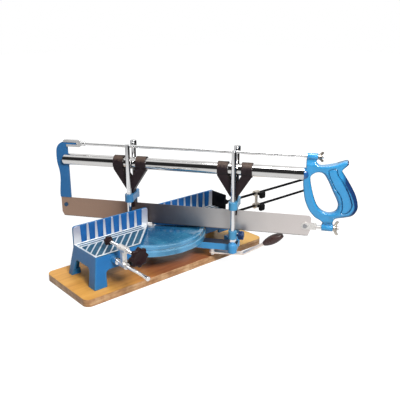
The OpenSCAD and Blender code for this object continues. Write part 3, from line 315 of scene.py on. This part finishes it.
def plated(name, color, rough, streaks=0.0, metal=1.0):
    """Plated steel with faint draw marks, less metallic where the plating is dull."""
    s = Shader(name, color, rough, metal=metal)
    haze = s.noise(55, 4)
    s.color(s.ramp(haze, [(0.3, tuple(c * 0.94 for c in color)), (0.7, color)]))
    s.rough(s.span(s.noise(260, 3), 0.3, 0.75, rough * 0.8, rough * 1.35 + 0.02))
    s.relief(s.noise(1500, 2), 0.012 + streaks, 0.05 * MM, 0.35 * MM)
    return s


def blade_steel(name):
    """Ground spring steel with lengthwise marks and a painted reflection and shade along it: straw-brown
    towards its rear end, dark by the rear posts, light grey towards the handle.
    """
    s = Shader(name, (0.5, 0.48, 0.46), 0.36, metal=0.75)
    marks = s.noise(1.0, 5, s.stretched((14, 1600, 1600), -TURN))
    # Painted reflection and shade along the blade, from straw-brown at the rear through dark by the rear
    # posts to light grey
    along = s.toward(ALONG, s.axis)
    along = s.math("ADD", along, s.both(s.math("SUBTRACT", s.noise(9, 2), 0.5), 0.08))
    painted_reflection_tone = s.ramp(s.span(along, -0.21, 0.34), [
        (0.0, (0.38, 0.25, 0.185)), (0.27, (0.35, 0.235, 0.18)), (0.34, (0.18, 0.13, 0.115)),
        (0.41, (0.1, 0.09, 0.1)), (0.52, (0.17, 0.17, 0.19)), (0.68, (0.45, 0.44, 0.44)),
        (0.85, (0.7, 0.655, 0.635)), (1.0, (0.76, 0.7, 0.68))])
    scratches = s.ramp(marks, [(0.3, (0.3, 0.29, 0.28)), (0.7, (0.8, 0.78, 0.76))])
    painted_reflection_tone = s.mix(0.35, painted_reflection_tone, scratches, "SOFT_LIGHT")
    toothed = (0.07, 0.06, 0.06)
    s.color(s.mix(s.span(s.axis("Z"), 0.0848, 0.0862, 0.75, 0), painted_reflection_tone, toothed))
    s.rough(s.span(marks, 0.3, 0.7, 0.3, 0.46))
    s.relief(marks, 0.08, 0.05 * MM)
    return s


def plywood(name):
    """Varnished ply: long grain on the faces, mottled end grain on the edges; the top is redder in the
    middle as painted shade and reflection, and paler towards the right end as painted light.
    """
    s = Shader(name, (0.62, 0.33, 0.1), 0.4, coat=0.15, shine=0.3)
    grain = s.noise(1.0, 6, s.stretched((7, 95, 60)))
    pores = s.noise(1.0, 3, s.stretched((60, 1500, 300)))
    x = s.axis("X")
    golden = s.ramp(grain, [
        (0.25, (0.64, 0.28, 0.05)), (0.5, (0.78, 0.38, 0.075)), (0.75, (0.85, 0.45, 0.11))])
    red = s.ramp(grain, [
        (0.25, (0.32, 0.09, 0.03)), (0.5, (0.41, 0.13, 0.045)), (0.75, (0.5, 0.18, 0.065))])
    straw, pore = (0.98, 0.56, 0.14), (0.25, 0.09, 0.03)
    drift = s.both(s.math("SUBTRACT", s.noise(14, 2), 0.5), 0.12)
    middle = s.math("ABSOLUTE", s.math("ADD", s.math("SUBTRACT", x, 0.01), drift))
    # Painted light: paler straw towards the right end of the board
    golden = s.mix(s.span(x, 0.1, 0.22), golden, straw)
    # Painted shade and reflection: the red ramp fills the middle of the top
    face = s.mix(s.span(middle, 0.06, 0.19, 1.0, 0.0), golden, red)
    face = s.mix(s.span(pores, 0.58, 0.8, 0.0, 0.25), face, pore)
    layer = s.noise(1.0, 3, s.stretched((24, 24, 260)))
    mottle = s.noise(70, 4)
    edge = s.ramp(s.math("ADD", s.both(layer, 0.55), s.both(mottle, 0.45)),
                  [(0.38, (0.36, 0.17, 0.07)), (0.5, (0.55, 0.3, 0.14)), (0.62, (0.72, 0.48, 0.27))])
    flat = s.math("GREATER_THAN", s.math("ABSOLUTE", s.facing("Z")), FLAT)
    s.color(s.mix(flat, edge, face))
    s.rough(s.span(grain, 0.3, 0.7, 0.36, 0.5))
    s.relief(s.math("ADD", pores, grain), 0.1, 0.2 * MM, 1.5 * MM)
    return s


def moulded(name, color, rough, edge=0.7 * MM, top=None, shine=0.2):
    """Moulded plastic with a fine grain and paler worn patches, paler still on the faces that look up."""
    s = Shader(name, color, rough, shine=shine)
    pale = tuple(c * 1.4 + 0.006 for c in color)
    skin = s.ramp(s.noise(70, 4), [(0.35, color), (0.75, pale)])
    if top:
        upward_pale = s.math("ADD", s.facing("Z"), s.math("SUBTRACT", s.noise(160, 3), 0.5))
        skin = s.mix(s.span(upward_pale, 0.35, 0.8), skin, top)
    s.color(skin)
    s.rough(s.span(s.noise(240, 2), 0.3, 0.7, rough - 0.06, rough + 0.1))
    s.relief(s.noise(1300, 2), 0.14, 0.15 * MM, edge)
    return s


looks = {
    "plywood": plywood("plywood"),
    "blue_paint": paint("blue_paint", (0.075, 0.32, 0.56), coat=0.45),
    "blue_gloss": grip_paint("blue_gloss", (0.038, 0.345, 0.71)),
    "chrome": plated("chrome", (0.86, 0.86, 0.87), 0.07),
    "zinc_steel": plated("zinc_steel", (0.84, 0.81, 0.78), 0.3, 0.06, 0.66),
    "blade_steel": blade_steel("blade_steel"),
    "black_steel": moulded("black_steel", (0.004, 0.004, 0.005), 0.5, 0.4 * MM, shine=0.08),
    "bronze": plated("bronze", (0.36, 0.32, 0.28), 0.34),
    "dark_plastic": moulded("dark_plastic", (0.05, 0.024, 0.021), 0.3, shine=0.5),
    "black_plastic": moulded("black_plastic", (0.014, 0.003, 0.004), 0.4),
    "blue_plastic": moulded("blue_plastic", (0.008, 0.03, 0.1), 0.3),
}
nickel = plated("nickel", (0.62, 0.57, 0.5), 0.32, metal=0.8)
special = {
    "left_table": cast_table("cast_table", (0.014, 0.17, 0.46)),
    "segment": cast_disc("cast_disc", (0.035, 0.2, 0.37)),
    # The arm's upper face is painted near-black as painted shade
    "swivel_arm": shaded_top_paint("arm_paint", (0.07, 0.33, 0.66), ARM_TOP),
    "back_tube": plated("tube_chrome", (0.68, 0.67, 0.66), 0.08),
    # The bow's paint is a darker copy of the blue paint, as painted shade
    "bow": paint("bow_shaded_paint", (0.028, 0.16, 0.4), rough=0.42, coat=0.05),
    "bow_pin_rivet": paint("rivet_paint", (0.02, 0.08, 0.17), rough=0.3),
    "clevis_rivet": plated("rivet_steel", (0.4, 0.4, 0.42), 0.3),
    "lever": plated("lever_steel", (0.98, 0.86, 0.77), 0.34, 0.06, 0.5),
    "tension_rod": plated("rod_chrome", (0.9, 0.9, 0.9), 0.12, metal=0.82),
    # The rear crosshead's paint is a darker copy of the blue paint, as painted shade
    "rear_crosshead": paint("crosshead_shaded_paint", (0.04, 0.2, 0.42), coat=0.3),
    "stop_slider": nickel,
    "front_carrier": moulded("carrier", (0.016, 0.009, 0.011), 0.45, top=(0.085, 0.055, 0.042)),
}
special["rear_carrier"] = special["front_carrier"]
special["right_table"] = special["left_table"]


def wear(piece, shader):
    piece.data.materials.clear()
    piece.data.materials.append(shader.mat)


slots = {row["node"]: row["material_slot"] for row in frame["record"]["subparts"]}
for node, piece in nodes.items():
    wear(piece, special.get(node) or looks[slots[node]])


# Rounded pieces

def smooth_loop(points, steps):
    """Closed smooth curve through a few points."""
    n = len(points)
    loop = []
    for i in range(n):
        a, b, c, d = (Vector(points[(i + k) % n]) for k in (-1, 0, 1, 2))
        for j in range(steps):
            t = j / steps
            loop.append(b + (c - a) * t / 2 + (2 * a - 5 * b + 4 * c - d) * t * t / 2
                        + (3 * b - a - 3 * c + d) * t ** 3 / 2)
    return loop


def even_loop(loop, step):
    """The same outline with its points at even distances."""
    closed = loop + loop[:1]
    places = [0.0]
    for a, b in zip(closed, closed[1:]):
        places.append(places[-1] + (b - a).length)
    count = max(8, round(places[-1] / step))
    points, i = [], 0
    for k in range(count):
        at = places[-1] * k / count
        while places[i + 1] < at:
            i += 1
        share = (at - places[i]) / (places[i + 1] - places[i])
        points.append(closed[i].lerp(closed[i + 1], share))
    return points


def beside(loop, offset):
    """Points at a distance to the left of a closed outline."""
    points = []
    for i, here in enumerate(loop):
        along = (loop[(i + 1) % len(loop)] - loop[i - 1]).normalized()
        points.append(here + Vector((-along.y, along.x)) * offset)
    return points


def inside(point, loop):
    odd = False
    for a, b in zip(loop, loop[1:] + loop[:1]):
        if (a.y > point.y) != (b.y > point.y):
            odd ^= point.x < a.x + (point.y - a.y) / (b.y - a.y) * (b.x - a.x)
    return odd


def gap_to(points):
    """A function that gives the distance from any point to the nearest of these."""
    tree = KDTree(len(points))
    for i, p in enumerate(points):
        tree.insert((p.x, p.y, 0), i)
    tree.balance()
    return lambda p: tree.find((p.x, p.y, 0))[2]


def ease(value, low, high):
    t = min(1, max(0, (value - low) / (high - low)))
    return t * t * (3 - 2 * t)


def rounded(edge_gap, height, radius):
    """Half thickness at a distance from the edge, where the edge is a quarter circle."""
    short = radius - min(edge_gap, radius)
    return height - radius + math.sqrt(radius * radius - short * short)


# Rows of points that a plate's mesh has beside each line, in mm, and how close its points may come
LINE_ROWS = (-1.4, -0.7, 0, 0.7, 1.4)
RING_SHARE, FILL_SHARE = 0.93, 0.7


def swollen_plate(loops, half_height, plane, rings, step, lines=()):
    """Mesh of a plate within the first outline and outside the others, drawn in mm on a plane.

    Its two faces stand off the plane by half_height(point, distance to the edge). The mesh has
    rows of points along the edges and along any lines that the height follows."""
    loops = [even_loop(loop, step) for loop in loops]
    to_edge = gap_to([p for loop in loops for p in even_loop(loop, step / 5)])

    def within(p):
        return inside(p, loops[0]) and not any(inside(p, hole) for hole in loops[1:])

    points, border = [], []
    for loop in loops:
        first, count = len(points), len(loop)
        points += loop
        border += [(first + i, first + (i + 1) % count) for i in range(count)]
    for loop in loops:
        for ring in rings:
            both = beside(loop, ring) + beside(loop, -ring)
            points += [p for p in both if to_edge(p) > RING_SHARE * ring and within(p)]
    for line in lines:
        for offset in LINE_ROWS:
            points += beside(even_loop(line, step), offset)
    to_taken = gap_to(points)
    xs, ys = [p.x for p in loops[0]], [p.y for p in loops[0]]
    for i in range(int((max(xs) - min(xs)) / step) + 1):
        for j in range(int((max(ys) - min(ys)) / step) + 1):
            p = Vector((min(xs) + (i + 0.5 * (j % 2)) * step, min(ys) + j * step))
            if to_taken(p) > FILL_SHARE * step and within(p):
                points.append(p)
    flat, _, faces = delaunay_2d_cdt(points, border, [], 0, 1e-4)[:3]
    faces = [f for f in faces if within(sum((flat[i] for i in f), Vector((0, 0))) / len(f))]
    count = len(flat)
    verts = []
    for side in (1, -1):
        verts += [plane @ (Vector((p.x, p.y, side * half_height(p, to_edge(p)))) * MM) for p in flat]
    rim = {}
    for f in faces:
        for a, b in zip(f, f[1:] + f[:1]):
            key = (min(a, b), max(a, b))
            rim[key] = None if key in rim else (b, a, a + count, b + count)
    backs = [[i + count for i in reversed(f)] for f in faces]
    mesh = bpy.data.meshes.new("plate")
    mesh.from_pydata(verts, [], faces + backs + [wall for wall in rim.values() if wall])
    return mesh


def turned(profile, place, axis, sides=48, lobes=0, wave=0.0):
    """Mesh of a closed ring of (distance along axis, radius) points in mm, turned about the axis.

    A rim with lobes dips in by wave between them, less and less towards the axis."""
    axis = Vector(axis).normalized()
    side = axis.orthogonal().normalized()
    other = axis.cross(side)
    widest = max(radius for _, radius in profile)
    count = len(profile)
    verts, faces = [], []
    for i in range(sides):
        angle = 2 * math.pi * i / sides
        out = side * math.cos(angle) + other * math.sin(angle)
        dip = wave * (1 - math.cos(lobes * angle)) / 2
        for along, radius in profile:
            reach = radius - dip * (radius / widest) ** 3
            verts.append(Vector(place) + (axis * along + out * reach) * MM)
        for j in range(count):
            k, n = (i + 1) % sides, (j + 1) % count
            faces.append((i * count + j, i * count + n, k * count + n, k * count + j))
    mesh = bpy.data.meshes.new("turned")
    mesh.from_pydata(verts, [], faces)
    return mesh


def threaded(start, end, radius, pitch, place, axis, sides=24):
    """Mesh of a screw thread between two distances along an axis, in mm."""
    depth = pitch * 0.3
    axis = Vector(axis).normalized()
    side = axis.orthogonal().normalized()
    other = axis.cross(side)
    rows = round((end - start) / pitch * 6)
    verts, faces = [], []
    for i in range(rows + 1):
        along = start + (end - start) * i / rows
        for k in range(sides):
            angle = 2 * math.pi * k / sides
            climb = (along / pitch - k / sides) % 1
            reach = radius - depth * abs(2 * climb - 1)
            out = side * math.cos(angle) + other * math.sin(angle)
            verts.append(Vector(place) + (axis * along + out * reach) * MM)
    for i in range(rows):
        for k in range(sides):
            n = (k + 1) % sides
            faces.append((i * sides + k, i * sides + n, (i + 1) * sides + n, (i + 1) * sides + k))
    faces.append(tuple(reversed(range(sides))))
    faces.append(tuple(rows * sides + k for k in range(sides)))
    mesh = bpy.data.meshes.new("thread")
    mesh.from_pydata(verts, [], faces)
    return mesh


def arc(center, radius, start, end, steps=5):
    """Points of a circle's arc, angles in degrees."""
    angles = [math.radians(start + (end - start) * i / steps) for i in range(steps + 1)]
    return [(center[0] + radius * math.cos(a), center[1] + radius * math.sin(a)) for a in angles]


def sleeve(start, end, outer, bore, edge, place, axis):
    """Tube with rounded outer rims."""
    profile = [(start, bore)]
    profile += arc((start + edge, outer - edge), edge, 180, 90)
    profile += arc((end - edge, outer - edge), edge, 90, 0)
    profile.append((end, bore))
    return turned(profile, place, axis)


def merge(name, meshes, shader, body, slot, stands_for=(), smooth_to=35):
    """One piece from several meshes, shaded smooth up to an angle, riding on a body."""
    bm = bmesh.new()
    for mesh in meshes:
        bm.from_mesh(mesh)
        bpy.data.meshes.remove(mesh)
    bmesh.ops.remove_doubles(bm, verts=bm.verts, dist=1e-6)
    bmesh.ops.dissolve_degenerate(bm, edges=bm.edges, dist=1e-7)
    bmesh.ops.recalc_face_normals(bm, faces=bm.faces)
    for face in bm.faces:
        face.smooth = True
    for edge in bm.edges:
        edge.smooth = edge.calc_face_angle(0) < math.radians(smooth_to)
    data = bpy.data.meshes.new(name)
    bm.to_mesh(data)
    bm.free()
    piece = bpy.data.objects.new(name, data)
    scene.collection.objects.link(piece)
    wear(piece, shader)
    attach(piece, body)
    if stands_for:
        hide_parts(*stands_for)
    return piece


def on_blade(s, z):
    """The place of a point in the blade's plane, given in mm."""
    return ALONG * (s * MM) + UP * (z * MM)


def arm_box(node):
    """Lowest and highest corner of a node along the blade, up and to the near side, in mm."""
    places = [v.co for v in nodes[node].data.vertices]
    own = [(p.dot(ALONG) / MM, p.z / MM, p.dot(NEAR) / MM) for p in places]
    return [[pick(p[i] for p in own) for i in range(3)] for pick in (min, max)]


# Handle: a frame with the finger hole, a swollen grip with a grooved panel, the tube's nose, two sleeves
HANDLE_S, HANDLE_Z = 326, 106
HANDLE_OUTLINE = [(5, 146), (19, 147), (24, 143), (24, 136), (29, 131), (38, 130), (58, 134), (80, 142),
                  (85, 141), (85, 136), (74, 123), (81, 111), (89, 99), (103, 75), (110, 53), (108, 40),
                  (100, 30), (84, 25), (68, 21), (64, 12), (64, 0), (43, 0), (43, 11), (39, 16), (27, 23),
                  (15, 37), (6, 57), (2, 77), (0, 99), (4, 122)]
FINGER_HOLE = [(14, 106), (19, 113), (28, 117), (38, 115), (47, 103), (59, 79), (70, 56), (70, 43),
               (64, 35), (52, 32), (40, 36), (30, 46), (22, 65), (15, 92)]
GRIP_GROOVE = [(49, 122), (63, 126), (67, 115), (83, 92), (94, 70), (98.5, 52), (91, 38), (79, 36),
               (80.5, 48), (76, 69), (63, 88), (53, 107)]
GRIP_HALF, FRAME_HALF, SLEEVE_WEB = 11.4, 8, 3.6
GRIP_EDGE, FRAME_EDGE = 9, 3
GROOVE_DEPTH, GROOVE_HALF = 1.5, 1.8
# Where the frame swells into the grip: a point of the finger hole's long axis and the way to the grip
HOLE_MIDDLE, TO_GRIP = Vector((42, 75)), Vector((0.945, 0.326))
# Stretches over which the grip swells, its rounding ends below the horn, and the webs by the sleeves thin
SWELL_X, SWELL_GAP, HORN_Z = (24, 52), (-8, 14), (112, 124)
UPPER_WEB_Z, UPPER_WEB_X, LOWER_WEB_Z = (131, 139), (22, 34), (8, 15)
TUBE_R, NOSE, NOSE_STEPS = 12.5, 12, 10
# Each sleeve: its start and end along the blade, its radius and its bore
UPPER_SLEEVE, LOWER_SLEEVE, SLEEVE_EDGE = (5, 26, 6.5, 3.3), (42, 65, 7.5, 4.1), 1.2
HANDLE_RINGS, HANDLE_STEP = (0.4, 1.1, 2.2, 3.6, 5.4, 7.4), 2.2


def handle_loop(points):
    return smooth_loop([(HANDLE_S + x, HANDLE_Z + z) for x, z in points], 6)


def handle_half(groove_gap):
    def half(point, edge_gap):
        p = point - Vector((HANDLE_S, HANDLE_Z))
        grip = ease(p.x, *SWELL_X) * ease((p - HOLE_MIDDLE).dot(TO_GRIP), *SWELL_GAP)
        radius = FRAME_EDGE + (GRIP_EDGE - FRAME_EDGE) * grip * (1 - ease(p.y, *HORN_Z))
        height = FRAME_HALF + (GRIP_HALF - FRAME_HALF) * grip
        by_sleeve = ease(p.y, *UPPER_WEB_Z) * (1 - ease(p.x, *UPPER_WEB_X)) + 1 - ease(p.y, *LOWER_WEB_Z)
        height -= (height - SLEEVE_WEB) * by_sleeve
        groove = GROOVE_DEPTH * (1 - ease(groove_gap(point), 0.2, GROOVE_HALF))
        return rounded(edge_gap, height, radius) - groove
    return half


def build_handle():
    groove = handle_loop(GRIP_GROOVE)
    body = swollen_plate([handle_loop(HANDLE_OUTLINE), handle_loop(FINGER_HOLE)],
                         handle_half(gap_to(even_loop(groove, 0.4))), BLADE_PLANE,
                         HANDLE_RINGS, HANDLE_STEP, [groove])
    low, high = arm_box("back_tube")
    tube_end, tube_z = high[0], (low[1] + high[1]) / 2
    angles = [math.pi / 2 * i / NOSE_STEPS for i in range(1, NOSE_STEPS + 1)]
    dome = [(0, 0), (0, TUBE_R)] + [(NOSE * math.sin(a), TUBE_R * math.cos(a)) for a in angles]
    low, high = arm_box("upper_wing_nut")
    rod_z = (low[1] + high[1]) / 2
    merge("handle_shell", [
        body,
        turned(dome, on_blade(tube_end, tube_z), ALONG),
        sleeve(*UPPER_SLEEVE, SLEEVE_EDGE, on_blade(HANDLE_S, rod_z), ALONG),
        sleeve(*LOWER_SLEEVE, SLEEVE_EDGE, on_blade(HANDLE_S, HANDLE_Z), ALONG),
    ], looks["blue_gloss"], "saw", "blue_gloss", ["handle"])


build_handle()


# Wing nuts: a tapered hub and two rounded ears that stand out past it
EAR_HALF, EAR_EDGE, EAR_REACH = 1.3, 0.9, 3
EAR_RINGS, EAR_STEP = (0.25, 0.6), 1.0


def ear_half(_point, edge_gap):
    return rounded(edge_gap, EAR_HALF, EAR_EDGE)


def build_wing_nut(node, body, bore, hub, shader):
    low, high = arm_box(node)
    start, tip = low[0], (high[1] - low[1]) / 2
    place = on_blade(start, (low[1] + high[1]) / 2)
    depth = high[0] - start - EAR_REACH
    ear = smooth_loop([
        (0.5, hub - 1.2), (depth - 1.5, hub - 1.6), (depth + 0.8, tip - 5.5), (depth + 2.8, tip - 2.6),
        (depth + 1.2, tip), (depth - 2, tip - 0.8), (depth - 4.5, tip - 4), (depth - 6.5, hub)], 5)
    cone = [(0, bore), (0, hub - 0.6), (0.6, hub), (depth - 1, hub - 1.2), (depth, hub - 2), (depth, bore)]
    meshes = [turned(cone, place, ALONG)]
    for side in (1, -1):
        plane = Matrix.Translation(place) @ Matrix((ALONG, UP * side, NEAR * side)).transposed().to_4x4()
        meshes.append(swollen_plate([ear], ear_half, plane, EAR_RINGS, EAR_STEP))
    merge(node + "_shell", meshes, shader, body, slots[node], [node])


build_wing_nut("upper_wing_nut", "upper_wing", 3.4, 5.7, looks["bronze"])
build_wing_nut("lower_wing_nut", "lower_wing", 4.2, 7, nickel)


# Knobs with lobed rims: a knob's profile from back to front, as shares of its thickness and radius
KNOB_SHAPE = [(0, 0), (0, 0.5), (0.12, 0.62), (0.24, 0.9), (0.36, 0.98), (0.5, 1), (0.78, 1),
              (0.9, 0.96), (0.97, 0.88), (1, 0.76), (0.98, 0.6), (0.9, 0.5), (0.88, 0)]
KNOB_LOBES, KNOB_DIP, LOBE_SIDES = 8, 0.2, 12


def knob(face, axis, radius, thick, lobes):
    """Mesh of a knob whose back is at a point, with a dished front."""
    profile = [(along * thick, reach * radius) for along, reach in KNOB_SHAPE]
    return turned(profile, face, axis, lobes * LOBE_SIDES, lobes, radius * KNOB_DIP)


def build_clamp_knob():
    low, high = (Vector(c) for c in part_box("clamp_knob"))
    middle = (low + high) / 2
    back = Vector((middle.x, high.y, middle.z))
    radius, thick = (high.x - low.x) / 2 / MM, (high.y - low.y) / MM
    merge("clamp_knob_shell", [knob(back, (0, -1, 0), radius, thick, KNOB_LOBES)],
          looks["black_plastic"], "clamp_screw", "black_plastic", ["clamp_knob"])


build_clamp_knob()


# Screws with lobed heads: a head's rim from back to front, as shares of its thickness and radius
HEAD_SHAPE = [(0, 0.6), (0.06, 0.8), (0.2, 0.95), (0.4, 1), (0.72, 1), (0.9, 0.94), (0.98, 0.82), (1, 0.66),
              (0.94, 0.5), (0.94, 0)]
HEAD_DIP, SCREW_TIP = 0.24, 0.4
# Head thickness, shank radius, neck length and radius, and lobes of the thumb screws and the depth knobs
THUMB_SCREW = (9, 2, (7.5, 3.5), 4)
DEPTH_KNOB = (12, 2.5, (1, 4), 6)


def on_axis(node, axis):
    """Start of a turned node on its axis, and its length and widest radius in mm."""
    axis = Vector(axis)
    side = axis.orthogonal().normalized()
    ways = (axis, side, axis.cross(side))
    places = [v.co for v in nodes[node].data.vertices]
    spans = [(min(p.dot(way) for p in places), max(p.dot(way) for p in places)) for way in ways]
    start = axis * spans[0][0]
    for way, (low, high) in zip(ways[1:], spans[1:]):
        start += way * (low + high) / 2
    widest = max((p - start).cross(axis).length for p in places)
    return start, (spans[0][1] - spans[0][0]) / MM, widest / MM


def build_screw(node, body, axis, head, shank, neck, lobes, shader):
    """A screw of a shank's radius with a lobed head of a thickness; its neck is a (length, radius)."""
    start, length, radius = on_axis(node, axis)
    under = length - head
    profile = [(0, 0), (0, shank - SCREW_TIP), (SCREW_TIP, shank), (under - neck[0], shank)]
    profile += [(under - neck[0], neck[1]), (under, neck[1])]
    profile += [(under + along * head, reach * radius) for along, reach in HEAD_SHAPE]
    merge(node + "_shell", [turned(profile, start, axis, lobes * LOBE_SIDES, lobes, radius * HEAD_DIP)],
          shader, body, slots[node], [node])


for screw, body, axis in (("lower_stop_screw", "stop_screw_low", (0, -1, 0)),
                          ("upper_stop_screw", "stop_screw_up", (0, -1, 0)),
                          ("clamp_lock_screw", "clamp_lock", (1, 0, 0))):
    build_screw(screw, body, axis, *THUMB_SCREW, looks["black_steel"])
for screw, body, axis in (("front_depth_knob", "front_knob", ALONG),
                          ("rear_depth_knob", "rear_knob", -ALONG)):
    build_screw(screw, body, axis, *DEPTH_KNOB, looks["blue_plastic"])


# Clamp pad: a lobed disc with a hub that holds the spindle's end
PAD_SHAPE = [(0, 0), (0, 0.72), (0.08, 0.88), (0.25, 0.98), (0.5, 1), (0.75, 0.98), (0.92, 0.88), (1, 0.72)]
PAD_THICK, PAD_RIM, PAD_BORE, PAD_FLOOR, PAD_EDGE = 8, 4, 3.8, 3, 0.8
PAD_LOBES, PAD_DIP = 6, 0.2


def build_pad():
    axis = (0, -1, 0)
    start, length, radius = on_axis("clamp_pad", axis)
    hub = radius - PAD_RIM
    profile = [(along * PAD_THICK, reach * radius) for along, reach in PAD_SHAPE]
    profile += [(PAD_THICK, hub), (length - PAD_EDGE, hub), (length, hub - PAD_EDGE)]
    profile += [(length, PAD_BORE), (PAD_FLOOR, PAD_BORE), (PAD_FLOOR, 0)]
    disc = turned(profile, start, axis, PAD_LOBES * LOBE_SIDES, PAD_LOBES, radius * PAD_DIP)
    merge("clamp_pad_shell", [disc],
          looks["black_plastic"], "clamp_foot", slots["clamp_pad"], ["clamp_pad"])


build_pad()


# Clamp spindle: a coarse thread from end to end
SPINDLE_PITCH, SPINDLE_SMOOTH = 3, 60


def build_spindle():
    low, high = (Vector(c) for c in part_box("clamp_spindle"))
    radius, length = (high.x - low.x) / 2 / MM, (high.y - low.y) / MM
    start = Vector(((low.x + high.x) / 2, high.y, (low.z + high.z) / 2))
    merge("clamp_spindle_shell", [threaded(0, length, radius, SPINDLE_PITCH, start, (0, -1, 0))],
          looks["chrome"], "clamp_screw", slots["clamp_spindle"], ["clamp_spindle"], SPINDLE_SMOOTH)


build_spindle()


# Floor, world, lamps and camera
CAMERA_PLACE = (-0.6733, -0.9472, 0.5277)
CAMERA_TILT, CAMERA_YAW = 71.3, -40.8
CAMERA_LENS, CAMERA_SENSOR = 50.45, 36
# Level ways from the saw: to the camera, and to the right as the camera sees it
TO_CAMERA, TO_RIGHT = (-0.579, -0.815, 0), (0.757, -0.653, 0)
FLOOR_HALF = 6


class Stage:
    """Node tree of a floor or world, with short ways to add nodes to it."""

    def __init__(self, owner):
        owner.use_nodes = True
        self.tree = owner.node_tree
        self.tree.nodes.clear()

    def add(self, kind, *values, **settings):
        """A node with its first inputs set to values or linked to sockets; gives its first output."""
        node = self.tree.nodes.new(kind)
        for key, value in settings.items():
            setattr(node, key, value)
        for socket, value in zip(node.inputs, values):
            if isinstance(value, bpy.types.NodeSocket):
                self.tree.links.new(value, socket)
            else:
                socket.default_value = value
        return node.outputs[0] if node.outputs else None

    def math(self, operation, a, b=0.0):
        return self.add("ShaderNodeMath", a, b, operation=operation)

    def span(self, value, low, high, to_low=0.0, to_high=1.0):
        return self.add("ShaderNodeMapRange", value, low, high, to_low, to_high,
                        interpolation_type="SMOOTHSTEP")

    def ray(self, *kinds):
        """1 where the ray is of one of these kinds, as Light Path names them."""
        outputs = self.tree.nodes.new("ShaderNodeLightPath").outputs
        share = outputs[kinds[0]]
        for kind in kinds[1:]:
            share = self.math("MAXIMUM", share, outputs[kind])
        return share

    def along(self, output, way):
        """A place or direction measured along a fixed way."""
        place = self.tree.nodes.new("ShaderNodeTexCoord").outputs[output]
        node = self.tree.nodes.new("ShaderNodeVectorMath")
        node.operation = "DOT_PRODUCT"
        self.tree.links.new(place, node.inputs[0])
        node.inputs[1].default_value = way
        return node.outputs["Value"]


def build_floor():
    """White to the eye; in the metal it is a bright pool round the saw that fades out."""
    signs = ((-1, -1), (1, -1), (1, 1), (-1, 1))
    corners = [(x * FLOOR_HALF, y * FLOOR_HALF, 0) for x, y in signs]
    mesh = bpy.data.meshes.new("floor")
    mesh.from_pydata(corners, [], [(0, 1, 2, 3)])
    floor = bpy.data.objects.new("floor", mesh)
    scene.collection.objects.link(floor)
    mat = bpy.data.materials.new("floor")
    stage = Stage(mat)
    x, y = stage.along("Object", (1, 0, 0)), stage.along("Object", (0, 1, 0))
    away = stage.math("SQRT", stage.math("ADD", stage.math("POWER", x, 2.0), stage.math("POWER", y, 2.0)))
    right = stage.along("Object", TO_RIGHT)
    pool = stage.math("MULTIPLY", stage.span(away, 0.6, 1.4, 0.92, 0.3),
                      stage.span(right, 0.36, 0.6, 1, 0.03))
    white = stage.span(away, 0.5, 1.5, 0.87, 1.0)
    seen = stage.math("MULTIPLY", stage.ray("Is Camera Ray", "Is Transmission Ray"), white)
    glossy = stage.ray("Is Glossy Ray")
    glow = stage.math("ADD", seen, stage.math("MULTIPLY", glossy, pool))
    shine = stage.add("ShaderNodeEmission", (1, 1, 1, 1), glow)
    matt = stage.add("ShaderNodeBsdfDiffuse", stage.span(glossy, 0, 1, 0.3, 0))
    stage.add("ShaderNodeOutputMaterial", stage.add("ShaderNodeAddShader", matt, shine))
    mesh.materials.append(mat)


def build_world():
    """White to the eye, soft grey as light; metal sees a lit ceiling and a dark room by the camera."""
    world = bpy.data.worlds.new("studio")
    scene.world = world
    stage = Stage(world)
    up = stage.along("Generated", (0, 0, 1))
    front = stage.along("Generated", TO_CAMERA)
    right = stage.along("Generated", TO_RIGHT)
    room = stage.math("MAXIMUM", stage.span(front, 0.2, 0.45), stage.span(right, 0.5, 0.75))
    back = stage.span(up, 0.0, 0.35, 0.35, 1.0)
    metal = stage.math("MULTIPLY", back, stage.math("SUBTRACT", 1.0, stage.math("MULTIPLY", room, 0.97)))
    glossy = stage.ray("Is Glossy Ray")
    light = stage.math("MULTIPLY", stage.math("SUBTRACT", 1.0, glossy), AMBIENT)
    unseen = stage.math("ADD", light, stage.math("MULTIPLY", glossy, metal))
    eye = stage.ray("Is Camera Ray", "Is Transmission Ray")
    level = stage.math("MAXIMUM", eye, unseen)
    stage.add("ShaderNodeOutputWorld", stage.add("ShaderNodeBackground", (1, 1, 1, 1), level))


def lamp(name, place, aim, size, watts, matt=True, gloss=True):
    """A round lamp, which may be left out of matt surfaces or out of gloss."""
    data = bpy.data.lights.new(name, "AREA")
    data.shape = "DISK"
    data.size = size
    data.energy = watts
    piece = bpy.data.objects.new(name, data)
    piece.location = place
    piece.rotation_euler = (Vector(aim) - Vector(place)).to_track_quat("-Z", "Y").to_euler()
    piece.visible_diffuse = matt
    piece.visible_glossy = gloss
    scene.collection.objects.link(piece)


def build_camera():
    data = bpy.data.cameras.new("camera")
    data.sensor_width = CAMERA_SENSOR
    data.lens = CAMERA_LENS
    data.clip_start = 0.01
    data.clip_end = 50
    piece = bpy.data.objects.new("camera", data)
    piece.location = CAMERA_PLACE
    piece.rotation_euler = (math.radians(CAMERA_TILT), 0, math.radians(CAMERA_YAW))
    scene.collection.objects.link(piece)
    scene.camera = piece


build_floor()
build_world()
lamp("key", (-0.44, -1.94, 1.77), (0.05, -0.1, 0.12), size=0.8, watts=61)
lamp("top", (0.14, -0.2, 1.45), (0.14, -0.2, 0.1), size=0.3, watts=5)
lamp("fill", (-1.6, -0.7, 0.9), (0, 0, 0.1), size=1.2, watts=0.8, gloss=False)
lamp("gleam", (-0.58, -1.22, 1.15), (0.2, -0.27, 0.15), size=0.4, watts=5, matt=False)
lamp("sheen", (0.1, -0.25, 1.45), (0.1, -0.25, 0.1), size=0.8, watts=9, matt=False)
build_camera()
scene.view_settings.view_transform = "Standard"
